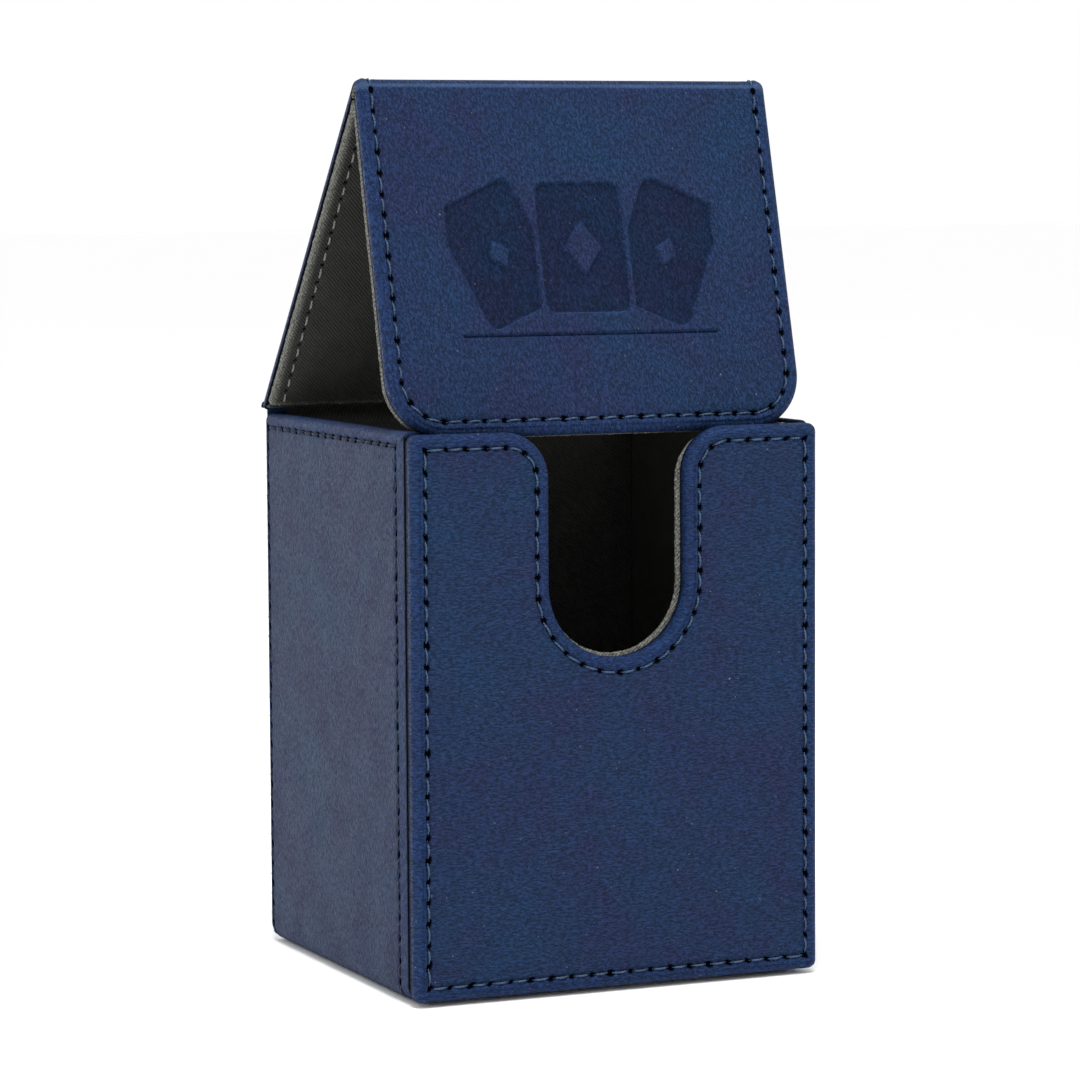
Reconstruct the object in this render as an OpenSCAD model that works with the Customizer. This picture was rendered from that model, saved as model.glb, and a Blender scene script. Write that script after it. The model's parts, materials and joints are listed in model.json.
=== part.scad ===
// Card deck box: an open-topped box of leather-covered boards with a thumb notch in its front,
// and a two-part lid that folds over the top and down the front, where magnets hold it shut.
// It is shown with the lid set up as a tent: the flap's foot is tucked behind the front panel.
//
// Millimetres. The origin is the middle of the base, +Z is up, the front faces -Y.
// Every panel is a board between an outer leather skin, which is turned over its edges,
// and an inner lining.

/* [Box] */
// Outside width of the box, left to right
box_w = 76; // [74:0.5:84]
// Outside depth of the box, front to rear
box_d = 72; // [68:0.5:80]
// Height of the side walls
box_h = 97; // [94:0.5:104]
// Outer radius where the side walls bend into the bottom
sleeve_bend = 3.5; // [3.4:0.1:5]
// How far the bottom stands below the front and rear panels
base_proud = 0.8; // [0.2:0.1:1.5]
// How far the front panel stops below the side walls
front_drop = 0.4; // [0.3:0.1:1]
// How much narrower the rear panel is on each side
rear_inset = 0.5; // [0:0.1:1]

/* [Materials] */
// Thickness of the leather skin
skin = 0.7; // [0.6:0.05:1]
// Thickness of the boards in the box walls
wall_board = 2.5; // [1.8:0.1:2.6]
// Thickness of the boards in the lid and the flap
lid_board_t = 2.2; // [1.8:0.1:2.4]
// Thickness of the fabric lining
lining = 0.8; // [0.5:0.1:1]

/* [Thumb notch] */
// Width of the notch in the front panel
notch_w = 25.4; // [20:0.1:30]
// Depth of the notch below the top of the side walls
notch_depth = 39.4; // [30:0.1:44]
// Radius of the corners beside the mouth of the notch
ear_r = 8; // [5:0.5:9]
// How far the lining shows inside the edge of the notch
notch_lining = 0.4; // [0:0.1:1]

/* [Lid and flap] */
// Width of the lid and the flap
lid_w = 77.4; // [77:0.1:90]
// Radius of the leather fold at the ridge
fold_r = 1.8; // [1.6:0.1:2]
// Radius of the leather fold at the rear
hinge_r = 0.8; // [0.7:0.1:1]
// How far the closed flap stands in front of the front panel
flap_gap = 0.9; // [0.5:0.1:2]
// Length of the flap, from the ridge fold to its foot
flap_len = 60.8; // [56:0.1:64]
// Radius of the flap's lower corners
flap_corner = 10; // [9.5:0.5:12]
// How far the flap's foot is tucked in below the front panel's top
tuck = 0.7; // [0.5:0.1:0.8]
// How far the flap's foot stands behind the front face
tuck_back = 6.1; // [6:0.05:8]

/* [Stitching] */
// Distance from hole to hole
pitch = 3.65; // [3:0.05:5]
// Distance of a seam from the edge of its panel
margin = 2.5; // [2.4:0.1:3.2]
// Distance of the side seams from the front end of the side walls
side_margin = 4.3; // [3:0.1:6]
// Distance of the side seams from the rear end of the side walls
side_rear_margin = 1; // [0.9:0.1:3]
// Length that each needle hole takes out of a stitch
hole = 0.9; // [0.7:0.1:1.2]
// Width of the thread
thread_w = 0.45; // [0.3:0.05:0.5]
// Thickness of the thread
thread_t = 0.3; // [0.2:0.05:0.3]

/* [Closure and emblem] */
// Diameter of a magnet
magnet_d = 9.5; // [6:0.5:10]
// Thickness of a magnet
magnet_t = 1; // [0.8:0.1:1.2]
// Distance of each magnet from the middle
magnet_x = 20; // [16:0.5:24]
// Distance of the magnets from the flap's foot
magnet_in = 9; // [8:0.5:12]
// Depth of the emblem pressed into the flap
emblem_depth = 0.25; // [0.1:0.05:0.3]
// Width of a card in the emblem
card_w = 16; // [12:0.5:17]
// Height of a card in the emblem
card_h = 23; // [18:0.5:25]
// Width of the raised line between two cards
emblem_line = 0.9; // [0.6:0.1:1.2]
// Distance of the outer cards' feet from the middle
emblem_fan = 11; // [9:0.5:12]
// Length of the rule below the cards
emblem_rule = 48; // [40:1:54]

/* [Hidden] */
$fn = 64;

leather = [0.13, 0.21, 0.40];
leather_side = [0.20, 0.25, 0.38];
fabric = [0.36, 0.37, 0.38];
greyboard = [0.55, 0.52, 0.47];
thread = [0.30, 0.38, 0.50];
steel = [0.75, 0.75, 0.77];

clear = 0.05;                       // between neighbouring panels of the box
over = 1;                           // how far a cutting shape runs past what it cuts
shell = skin + wall_board;          // depth from a wall's outer face to the back of its board
wall = shell + lining;              // whole thickness of a wall
lid_shell = skin + lid_board_t;
lid_wall = lid_shell + lining;
groove_w = thread_w + 0.35;
groove_d = thread_t + 0.05;

sleeve_front = -box_d / 2 + shell + clear;      // the side walls butt against the front panel
sleeve_rear = box_d / 2 - skin - clear;         // and run out to the leather of the rear panel
sleeve_len = sleeve_rear - sleeve_front;
sleeve_mid = (sleeve_front + sleeve_rear) / 2;
inner_w = box_w - 2 * wall;
front_top = box_h - front_drop;
rear_w = box_w - 2 * rear_inset;
rear_top = box_h - 0.1;
notch_r = notch_w / 2;
notch_z = box_h - notch_depth + notch_r;        // centre of the round end of the notch
floor_z = wall + clear;                         // where the upright linings start
lining_low = 0.6;                               // how far the linings stop below the rims

// Axes of the two folds, as [y, z]. The tent is a triangle: the rear fold, the ridge and the foot.
hinge = [box_d / 2 - hinge_r, rear_top + 0.2 + hinge_r];
lid_len = box_d - hinge_r - fold_r + lid_wall + flap_gap;
foot = [-box_d / 2 + tuck_back, front_top - tuck];
foot_reach = norm([flap_len, fold_r]);
ridge_reach = norm([lid_len, fold_r - hinge_r]);
base_line = norm(hinge - foot);
ridge_angle = acos((pow(ridge_reach, 2) + pow(base_line, 2) - pow(foot_reach, 2))
    / (2 * ridge_reach * base_line)) - atan2(hinge[1] - foot[1], hinge[0] - foot[0]);
ridge = hinge + ridge_reach * [-cos(ridge_angle), sin(ridge_angle)];
lid_angle = ridge_angle + atan2(fold_r - hinge_r, lid_len);
flap_lean = atan2(ridge[0] - foot[0], ridge[1] - foot[1]) - atan2(fold_r, flap_len);

hinge_skin = hinge_r + 0.2;         // where the lid's skin stops short of the rear fold's axis
ridge_skin = fold_r - 0.1;          // where the skins stop short of the ridge's axis
rear_clear = 3;                     // where boards and linings stop short of the rear fold
ridge_clear = 4.4;                  // where boards and linings stop short of the ridge
magnet_z = hinge[1] - flap_len + magnet_in;     // the magnets meet when the lid is shut

// ---- Placing: a panel is drawn flat, outer face up at z = 0, and then stood in its place ----

module on_front() translate([0, -box_d / 2, 0]) rotate([90, 0, 0]) children();
module on_rear() translate([0, box_d / 2, 0]) rotate([90, 0, 180]) children();
// On the two sides +x is towards the front, and on the bottom +y is.
module on_left() translate([-box_w / 2, sleeve_mid, 0]) rotate([90, 0, -90]) children();
module on_right() mirror([1, 0, 0]) on_left() children();
module on_bottom() translate([0, sleeve_mid, 0]) rotate([180, 0, 0]) children();
// Along the lid, y runs from the rear fold to the ridge.
module on_lid() translate([0, hinge[0], hinge[1]]) rotate([-lid_angle, 0, 0])
    rotate([0, 0, 180]) translate([0, 0, hinge_r]) children();
// Along the flap, y runs from its foot at -flap_len up to the ridge at 0.
module on_flap() translate([0, ridge[0], ridge[1]]) rotate([90 - flap_lean, 0, 0])
    translate([0, 0, fold_r]) children();

// A flat layer between two depths below the outer face.
module layer(from, to) translate([0, 0, -to]) linear_extrude(to - from) children();

// ---- Outlines ----

// What has to go to round off a corner of radius r that lies towards +x, +y.
module corner_trim(r) difference() {
    square(r + over);
    circle(r);
}

// An upright rectangle, centred on x, with rounded lower and upper corners.
module plate(w, y0, y1, low_r = 0, high_r = 0) difference() {
    translate([-w / 2, y0]) square([w, y1 - y0]);
    for (side = [0, 1]) mirror([side, 0]) {
        if (low_r > 0) translate([w / 2 - low_r, y0 + low_r]) mirror([0, 1]) corner_trim(low_r);
        if (high_r > 0) translate([w / 2 - high_r, y1 - high_r]) corner_trim(high_r);
    }
}

// The notch, with its mouth opened out by the rounded ears. Inset i moves its edge into the panel.
module notch(i = 0) {
    translate([0, notch_z]) circle(notch_r + i);
    translate([-notch_r - i, notch_z]) square([2 * (notch_r + i), box_h - notch_z + over]);
    for (side = [0, 1]) mirror([side, 0]) translate([notch_r + ear_r, front_top - ear_r])
        mirror([1, 0]) corner_trim(ear_r - i);
}

module front_outline(i = 0) difference() {
    plate(box_w - 2 * i, base_proud + i, front_top - i, 1.5 - i / 2, 1.5 - i / 2);
    notch(i);
}

module rear_outline() plate(rear_w, base_proud, rear_top, 1.5);

// The U of the side walls and the bottom, seen from the front, between two depths.
module sleeve_outline(from, to, top) difference() {
    plate(box_w - 2 * from, from, top, sleeve_bend - from);
    plate(box_w - 2 * to, to, top + over, max(sleeve_bend - to, 0.1));
}

module lid_outline(i, rear_gap, ridge_gap) plate(lid_w - 2 * i, rear_gap, lid_len - ridge_gap);

module flap_outline(i, ridge_gap)
    plate(lid_w - 2 * i, -flap_len + i, -ridge_gap, flap_corner - i);

// ---- Seams: a start [x, y, heading] and a list of [length, turn] steps ----

function arc_step(r, turn) = [r * abs(turn) * PI / 180, turn];

function after(p, step) = step[0] == 0 || step[1] == 0
    ? [p[0] + step[0] * cos(p[2]), p[1] + step[0] * sin(p[2]), p[2] + step[1]]
    : let (r = step[0] / (step[1] * PI / 180))
        [p[0] + r * (sin(p[2] + step[1]) - sin(p[2])), p[1] - r * (cos(p[2] + step[1]) - cos(p[2])),
            p[2] + step[1]];

function along(p, steps, s, i = 0) = i == len(steps) - 1 || s <= steps[i][0]
    ? after(p, [s, steps[i][1] * s / steps[i][0]])
    : along(after(p, steps[i]), steps, s - steps[i][0], i + 1);

function run_length(steps, i = 0) = i == len(steps) ? 0 : steps[i][0] + run_length(steps, i + 1);

// The groove that a run of stitches lies in.
module groove(p, steps, i = 0) {
    if (i < len(steps)) {
        length = steps[i][0];
        turn = steps[i][1];
        translate([p[0], p[1]]) rotate(p[2]) {
            if (turn == 0)
                translate([-groove_w / 2, -groove_w / 2]) square([length + groove_w, groove_w]);
            else
                groove_arc(length / (abs(turn) * PI / 180), turn);
        }
        groove(after(p, steps[i]), steps, i + 1);
    }
}

module groove_arc(r, turn) {
    side = sign(turn);
    reach = 2 * (r + groove_w);
    translate([0, side * r]) intersection() {
        difference() {
            circle(r + groove_w / 2);
            circle(r - groove_w / 2);
        }
        polygon([[0, 0], for (k = [0 : 4]) reach * [side * sin(turn * k / 4), -side * cos(turn * k / 4)]]);
    }
}

// The stitches of a run: straight lengths of thread with a needle hole between them.
module stitches(p, steps) {
    total = run_length(steps);
    count = round(total / pitch);
    gap = total / count;
    for (k = [0 : count - 1]) {
        at = along(p, steps, (k + 0.5) * gap);
        translate([at[0], at[1], -groove_d + 0.02]) rotate(at[2])
            translate([-(gap - hole) / 2, -thread_w / 2, 0]) cube([gap - hole, thread_w, thread_t]);
    }
}

module each_run(runs, cut = false) for (run = runs) {
    if (cut)
        layer(-over, groove_d) groove(run[0], run[1]);
    else
        stitches(run[0], run[1]);
}

// Runs of each panel, as [start, steps]. Runs end at the square corners of a seam.
seam_low = base_proud + margin;
front_x = box_w / 2 - margin;
ear_flat = front_x - notch_r - ear_r;
ear_arc = arc_step(ear_r - margin, 90);
notch_drop = front_top - ear_r - notch_z;
FRONT_RUNS = [
    [[-front_x, seam_low, 0], [[2 * front_x, 0]]],
    [[front_x, seam_low, 90], [[front_top - margin - seam_low, 0]]],
    [[front_x, front_top - margin, 180], [[ear_flat, 0], ear_arc, [notch_drop, 0],
        arc_step(notch_r + margin, -180), [notch_drop, 0], ear_arc, [ear_flat, 0]]],
    [[-front_x, front_top - margin, 270], [[front_top - margin - seam_low, 0]]]];

side_fore = sleeve_len / 2 - side_margin;
side_back = -sleeve_len / 2 + side_rear_margin;
side_rise = box_h - margin - sleeve_bend;
SIDE_RUNS = [
    [[side_back, sleeve_bend, 90], [[side_rise, 0]]],
    [[side_back, box_h - margin, 0], [[side_fore - side_back, 0]]],
    [[side_fore, box_h - margin, 270], [[side_rise, 0]]]];

base_x = box_w / 2 - sleeve_bend;
BOTTOM_RUNS = [for (row = [side_back, side_fore]) [[-base_x, row, 0], [[2 * base_x, 0]]]];

rear_x = rear_w / 2 - margin;
REAR_RUNS = [
    [[-rear_x, rear_top - 0.5, 270], [[rear_top - 0.5 - seam_low, 0]]],
    [[-rear_x, seam_low, 0], [[2 * rear_x, 0]]],
    [[rear_x, seam_low, 90], [[rear_top - 0.5 - seam_low, 0]]]];

lid_x = lid_w / 2 - margin;
LID_RUNS = [for (side = [-1, 1])
    [[side * lid_x, rear_clear, 90], [[lid_len - rear_clear - fold_r - 0.5, 0]]]];

flap_arc = arc_step(flap_corner - margin, 90);
flap_side = flap_len - flap_corner - fold_r - 0.5;
FLAP_RUNS = [[[-lid_x, -fold_r - 0.5, 270], [[flap_side, 0], flap_arc,
    [lid_w - 2 * flap_corner, 0], flap_arc, [flap_side, 0]]]];

// ---- Magnets and emblem ----

module magnet_pair(y, d, depth, t) for (side = [-1, 1])
    translate([side * magnet_x, y, -depth]) cylinder(d = d, h = t);

module card(inset = 0) plate(card_w - 2 * inset, inset, card_h - inset, 2 - inset, 2 - inset);

module diamond(w, h) polygon([[0, -h / 2], [w / 2, 0], [0, h / 2], [-w / 2, 0]]);

// A fan of three plain cards over a rule, the middle one in front, each with a raised diamond.
module emblem() {
    fan = [[-emblem_fan, 24, 0.55], [emblem_fan, -24, 0.55], [0, 0, 1]];
    for (k = [0 : 2]) difference() {
        translate([fan[k][0], 0]) rotate(fan[k][1]) difference() {
            card();
            translate([0, card_h / 2]) scale(fan[k][2]) diamond(0.44 * card_w, 0.42 * card_h);
        }
        for (later = [k + 1 : 1 : 2])
            translate([fan[later][0], 0]) rotate(fan[later][1]) card(-emblem_line);
    }
    translate([-emblem_rule / 2, -4]) square([emblem_rule, emblem_line / 2]);
}

// ---- Box ----

module sleeve_run(length) translate([0, sleeve_mid, 0]) rotate([90, 0, 0])
    linear_extrude(length, center = true) children();

module sleeve_cover() color(leather_side) difference() {
    sleeve_run(sleeve_len) sleeve_outline(0, shell, box_h);
    sleeve_run(sleeve_len - 2 * skin) sleeve_outline(skin, shell + clear, box_h - skin);
    on_left() each_run(SIDE_RUNS, cut = true);
    on_right() each_run(SIDE_RUNS, cut = true);
    on_bottom() each_run(BOTTOM_RUNS, cut = true);
}

module side_board() layer(skin, shell)
    plate(sleeve_len - 2 * skin, sleeve_bend + clear, box_h - skin);

module left_board() color(greyboard) on_left() side_board();

module right_board() color(greyboard) on_right() side_board();

module bottom_board() color(greyboard) on_bottom() layer(skin, shell)
    plate(box_w - 2 * sleeve_bend - 2 * clear, -sleeve_len / 2 + skin, sleeve_len / 2 - skin);

module side_lining() layer(shell, wall) plate(sleeve_len, floor_z, box_h - lining_low);

module left_lining() color(fabric) on_left() side_lining();

module right_lining() color(fabric) on_right() side_lining();

module bottom_lining() color(fabric) on_bottom() layer(shell, wall)
    plate(box_w - 2 * shell - 2 * clear, -sleeve_len / 2, sleeve_len / 2);

module left_stitching() color(thread) on_left() each_run(SIDE_RUNS);

module right_stitching() color(thread) on_right() each_run(SIDE_RUNS);

module bottom_stitching() color(thread) on_bottom() each_run(BOTTOM_RUNS);

// ---- Front ----

module front_cover() color(leather) on_front() difference() {
    layer(0, shell) front_outline();
    layer(skin, shell + over) front_outline(skin);
    each_run(FRONT_RUNS, cut = true);
}

module front_board() color(greyboard) on_front() difference() {
    layer(skin, shell) front_outline(skin);
    magnet_pair(magnet_z, magnet_d + 2 * clear, shell + over, magnet_t + over);
}

module front_magnets() color(steel) on_front() magnet_pair(magnet_z, magnet_d, shell, magnet_t - clear);

module front_lining() color(fabric) on_front() layer(shell, wall) difference() {
    plate(inner_w - 2 * clear, floor_z, front_top - lining_low);
    notch(-notch_lining);
}

module front_stitching() color(thread) on_front() each_run(FRONT_RUNS);

// ---- Rear ----

module rear_cover() color(leather) on_rear() difference() {
    layer(0, skin) rear_outline();
    each_run(REAR_RUNS, cut = true);
}

module rear_board() color(greyboard) on_rear() layer(skin, shell)
    plate(inner_w - 2 * clear, floor_z, hinge[1] - rear_clear);

module rear_lining() color(fabric) on_rear() layer(shell, wall)
    plate(inner_w - 2 * clear, floor_z, rear_top - lining_low);

module rear_stitching() color(thread) on_rear() each_run(REAR_RUNS);

module fold_roll(axis, r, length) color(leather) translate([0, axis[0], axis[1]])
    rotate([0, 90, 0]) cylinder(r = r, h = length, center = true);

module rear_fold() fold_roll(hinge, hinge_r, rear_w);

// ---- Lid ----

module lid_cover() color(leather) on_lid() difference() {
    layer(0, lid_shell) lid_outline(0, hinge_skin, ridge_skin);
    layer(skin, lid_shell + over) lid_outline(skin, -over, -over);
    layer(skin, lid_shell + over) lid_outline(-over, -over, lid_len - rear_clear);
    layer(skin, lid_shell + over) lid_outline(-over, lid_len - ridge_clear, -over);
    each_run(LID_RUNS, cut = true);
}

module lid_board() color(greyboard) on_lid() layer(skin, lid_shell)
    lid_outline(skin, rear_clear, ridge_clear);

module lid_lining() color(fabric) on_lid() layer(lid_shell, lid_wall)
    lid_outline(skin, rear_clear, ridge_clear);

module lid_stitching() color(thread) on_lid() each_run(LID_RUNS);

module ridge_fold() fold_roll(ridge, fold_r, lid_w);

// ---- Flap ----

module flap_cover() color(leather) on_flap() difference() {
    layer(0, lid_shell) flap_outline(0, ridge_skin);
    layer(skin, lid_shell + over) flap_outline(skin, -over);
    layer(skin, lid_shell + over) translate([-lid_w, -ridge_clear]) square([2 * lid_w, ridge_clear]);
    each_run(FLAP_RUNS, cut = true);
    layer(-over, emblem_depth) translate([0, -flap_len / 2 - card_h / 2 + 2]) emblem();
}

module flap_board() color(greyboard) on_flap() difference() {
    layer(skin, lid_shell) flap_outline(skin, ridge_clear);
    magnet_pair(magnet_in - flap_len, magnet_d + 2 * clear, lid_shell + over, magnet_t + over);
}

module flap_magnets() color(steel) on_flap()
    magnet_pair(magnet_in - flap_len, magnet_d, lid_shell, magnet_t - clear);

module flap_lining() color(fabric) on_flap() layer(lid_shell, lid_wall)
    flap_outline(skin, ridge_clear);

module flap_stitching() color(thread) on_flap() each_run(FLAP_RUNS);

sleeve_cover();
left_board();
right_board();
bottom_board();
left_lining();
right_lining();
bottom_lining();
left_stitching();
right_stitching();
bottom_stitching();
front_cover();
front_board();
front_lining();
front_stitching();
front_magnets();
rear_cover();
rear_board();
rear_lining();
rear_stitching();
rear_fold();
lid_cover();
lid_board();
lid_lining();
lid_stitching();
ridge_fold();
flap_cover();
flap_board();
flap_lining();
flap_stitching();
flap_magnets();
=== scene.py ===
import json
import math

import bmesh
import bpy
import numpy as np
from mathutils import Matrix, Vector, geometry


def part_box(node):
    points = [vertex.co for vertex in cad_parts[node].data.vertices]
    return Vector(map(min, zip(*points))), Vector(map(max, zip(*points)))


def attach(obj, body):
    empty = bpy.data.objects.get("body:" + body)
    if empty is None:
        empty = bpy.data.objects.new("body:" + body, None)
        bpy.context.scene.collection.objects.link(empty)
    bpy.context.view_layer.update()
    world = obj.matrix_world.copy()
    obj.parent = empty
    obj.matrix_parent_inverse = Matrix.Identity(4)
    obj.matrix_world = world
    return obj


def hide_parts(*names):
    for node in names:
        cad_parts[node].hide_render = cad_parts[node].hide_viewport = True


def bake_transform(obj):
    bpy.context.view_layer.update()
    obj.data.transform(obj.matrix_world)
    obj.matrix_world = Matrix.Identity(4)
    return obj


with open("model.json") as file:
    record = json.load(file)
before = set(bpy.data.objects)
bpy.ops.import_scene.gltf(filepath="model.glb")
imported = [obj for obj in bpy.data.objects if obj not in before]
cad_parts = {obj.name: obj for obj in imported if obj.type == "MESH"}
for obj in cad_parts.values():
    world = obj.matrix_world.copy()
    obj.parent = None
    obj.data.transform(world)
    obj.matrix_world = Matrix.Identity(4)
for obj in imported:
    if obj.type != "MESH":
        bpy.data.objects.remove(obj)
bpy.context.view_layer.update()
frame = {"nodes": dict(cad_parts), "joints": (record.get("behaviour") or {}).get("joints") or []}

# Card deck box. Panels are worked out flat, in millimetres, and then stood in their places.
# A panel's own x and y lie in its outer face, which is at z = 0, and the panel goes down from there.

MM = 0.001


# ---- Sizes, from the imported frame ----

def box_mm(node):
    low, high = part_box(node)
    return np.array(low) / MM, np.array(high) / MM


def joint_axis(name):
    joint = next(j for j in frame["joints"] if j["name"] == name)
    return np.array(joint["pos_m"][1:], float) / MM


SLEEVE_LO, SLEEVE_HI = box_mm("sleeve_cover")
FRONT_LO, FRONT_HI = box_mm("front_cover")
REAR_LO, REAR_HI = box_mm("rear_cover")
BOARD_LO, _ = box_mm("front_board")
FRONT_LINING_LO, FRONT_LINING_HI = box_mm("front_lining")
FOLD_LO, FOLD_HI = box_mm("ridge_fold")
REAR_FOLD_LO, REAR_FOLD_HI = box_mm("rear_fold")
HINGE = joint_axis("lid_hinge")
RIDGE = joint_axis("flap_hinge")

BOX_W = SLEEVE_HI[0] - SLEEVE_LO[0]
BOX_H = SLEEVE_HI[2]
BOX_D = REAR_HI[1] - FRONT_LO[1]
SHELL = FRONT_HI[1] - FRONT_LO[1]
LINING = FRONT_LINING_HI[1] - FRONT_LINING_LO[1]
WALL = SHELL + LINING
SKIN = BOARD_LO[1] - FRONT_LO[1]
FRONT_TOP = FRONT_HI[2]
BASE_PROUD = FRONT_LO[2]
REAR_W = REAR_HI[0] - REAR_LO[0]
REAR_TOP = REAR_HI[2]
SLEEVE_FRONT, SLEEVE_REAR = SLEEVE_LO[1], SLEEVE_HI[1]
SLEEVE_LEN = SLEEVE_REAR - SLEEVE_FRONT
SLEEVE_MID = (SLEEVE_FRONT + SLEEVE_REAR) / 2
LID_W = FOLD_HI[0] - FOLD_LO[0]
RIDGE_R = (FOLD_HI[1] - FOLD_LO[1]) / 2
HINGE_R = (REAR_FOLD_HI[1] - REAR_FOLD_LO[1]) / 2
LINING_TOP = FRONT_LINING_HI[2]

# Sizes that the frame's boxes don't show, as in the design.
SLEEVE_BEND = 3.5
NOTCH_R = 12.7
NOTCH_Z = 70.3
EAR_R = 8.0
NOTCH_LINING = 0.4
LID_SHELL = 2.9
LID_WALL = 3.7
FLAP_LEN = 60.8
FLAP_CORNER = 10.0
FOOT_BACK, FOOT_TUCK = 6.1, 0.7   # the flap's foot: behind the front face, below the ears' tops
FOOT = np.array([-BOX_D / 2 + FOOT_BACK, FRONT_TOP - FOOT_TUCK])
PITCH = 3.65
MARGIN = 2.5
SIDE_MARGIN = 4.3
SIDE_REAR_MARGIN = 1.0
HINGE_SKIN = HINGE_R + 0.2
RIDGE_SKIN = RIDGE_R - 0.1
REAR_CLEAR = 3.0
RIDGE_CLEAR = 4.4
CARD_W = 16.0
CARD_H = 23.0
EMBLEM_FAN = 11.0
EMBLEM_LINE = 0.9
EMBLEM_RULE = 48.0
EMBLEM_DEPTH = 0.5
EMBLEM_EDGE = 0.36                # width of a pressed shape's slope
CORNER_R = 1.5                    # corners of the front and rear panels
FRONT_EDGE_R, LID_EDGE_R = 1.5, 1.2
NOTCH_GAP = 0.12                  # the notch's lining is cut back by this much more
LIP = 0.65                        # how far the cut edges of lid and flap linings show below the leather
LINING_INSET = 0.15
FRONT_DIP = 0.25                  # how far the sleeve's front edge is drawn in
RIDGE_HOLES = 0.4, 4.1            # distances of the needle holes past the ridge, to either side

LID_LEN = math.sqrt(np.sum((RIDGE - HINGE) ** 2) - (RIDGE_R - HINGE_R) ** 2)
LID_ANGLE = (math.atan2(RIDGE[1] - HINGE[1], HINGE[0] - RIDGE[0])
             + math.atan2(RIDGE_R - HINGE_R, LID_LEN))
FLAP_LEAN = (math.atan2(RIDGE[0] - FOOT[0], RIDGE[1] - FOOT[1])
             - math.atan2(RIDGE_R, FLAP_LEN))
SIN_A, COS_A = math.sin(LID_ANGLE), math.cos(LID_ANGLE)
SIN_L, COS_L = math.sin(FLAP_LEAN), math.cos(FLAP_LEAN)


# ---- Places: a panel's own x, y, z to the frame's x, y, z ----

def stand(x_way, y_way, z_way, at):
    """A function that places panel points, given where the panel's axes point and its origin."""
    turn = np.array([x_way, y_way, z_way], float)
    return lambda p: p @ turn + np.array(at, float)


LID_N = np.array([0, SIN_A, COS_A])
FLAP_N = np.array([0, -COS_L, SIN_L])
on_front = stand((1, 0, 0), (0, 0, 1), (0, -1, 0), (0, -BOX_D / 2, 0))
on_rear = stand((-1, 0, 0), (0, 0, 1), (0, 1, 0), (0, BOX_D / 2, 0))
on_lid = stand((-1, 0, 0), (0, -COS_A, SIN_A), LID_N, (0, *HINGE) + HINGE_R * LID_N)
on_flap = stand((1, 0, 0), (0, SIN_L, COS_L), FLAP_N, (0, *RIDGE) + RIDGE_R * FLAP_N)

SIDE_RUN = BOX_H - SLEEVE_BEND              # straight length of a side wall
BEND_RUN = SLEEVE_BEND * math.pi / 2
BASE_RUN = BOX_W - 2 * SLEEVE_BEND
SLEEVE_RUN = 2 * (SIDE_RUN + BEND_RUN) + BASE_RUN


def on_sleeve(p):
    """Wraps the flat sleeve round: x runs down the left wall, across the bottom and up the right."""
    s, y, depth = p[:, 0] - SLEEVE_RUN / 2, SLEEVE_MID - p[:, 1], -p[:, 2]
    half = abs(s)
    side = np.sign(s)
    turn = np.clip((half - BASE_RUN / 2) / SLEEVE_BEND, 0, math.pi / 2)
    rise = np.maximum(half - BASE_RUN / 2 - BEND_RUN, 0)
    x = np.minimum(half, BASE_RUN / 2) + (SLEEVE_BEND - depth) * np.sin(turn)
    z = SLEEVE_BEND - (SLEEVE_BEND - depth) * np.cos(turn) + rise
    return np.stack([side * x, y, z], axis=1)


# ---- Small shaping functions ----

def smooth(t):
    t = np.clip(t, 0, 1)
    return t * t * (3 - 2 * t)


def bell(d, width):
    return np.exp(-(d / width) ** 2)


def wander(x, y, step, seed):
    """A soft random surface from -1 to 1 with waves about step long."""
    waves = np.random.default_rng(seed)
    total = 0
    for _ in range(9):
        way = waves.uniform(0, 2 * math.pi)
        k = 2 * math.pi / (step * waves.uniform(0.7, 1.6))
        total = total + np.sin(k * (x * math.cos(way) + y * math.sin(way)) + waves.uniform(0, 6.3))
    return total / 4.5


# ---- Outlines: corners joined by straight sides, each corner with its own radius ----

def needle_row(first, last, end, jitter, warp):
    """Needle holes from first to last, and marks from 0 to end that are closest together at them."""
    count = max(round((last - first) / PITCH), 1)
    gap = (last - first) / count
    holes = first + gap * np.arange(count + 1)
    holes[1:-1] += jitter.normal(0, 0.07, count - 1)
    marks = np.concatenate([a + (b - a) * warp for a, b in zip(holes, holes[1:])] + [holes[-1:]])
    if first > 0:
        marks = np.concatenate([np.linspace(0, first, 8, endpoint=False), marks])
    if last < end:
        marks = np.concatenate([marks, np.linspace(last, end, 9)[1:]])
    return holes, marks


def samples_between(a, b, marks, holes):
    """Samples from a to b: their shares of the way, how near a hole is, and which hole it is."""
    if b - a < 1e-6:
        return np.zeros(1), np.zeros(1), np.zeros(1, int)
    inner = marks[(marks > a + 0.02) & (marks < b - 0.02)]
    s = np.concatenate([[a], inner, [b]])
    away = abs(s[:, None] - holes)
    return (s - a) / (b - a), np.min(away, axis=1), np.argmin(away, axis=1)


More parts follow.
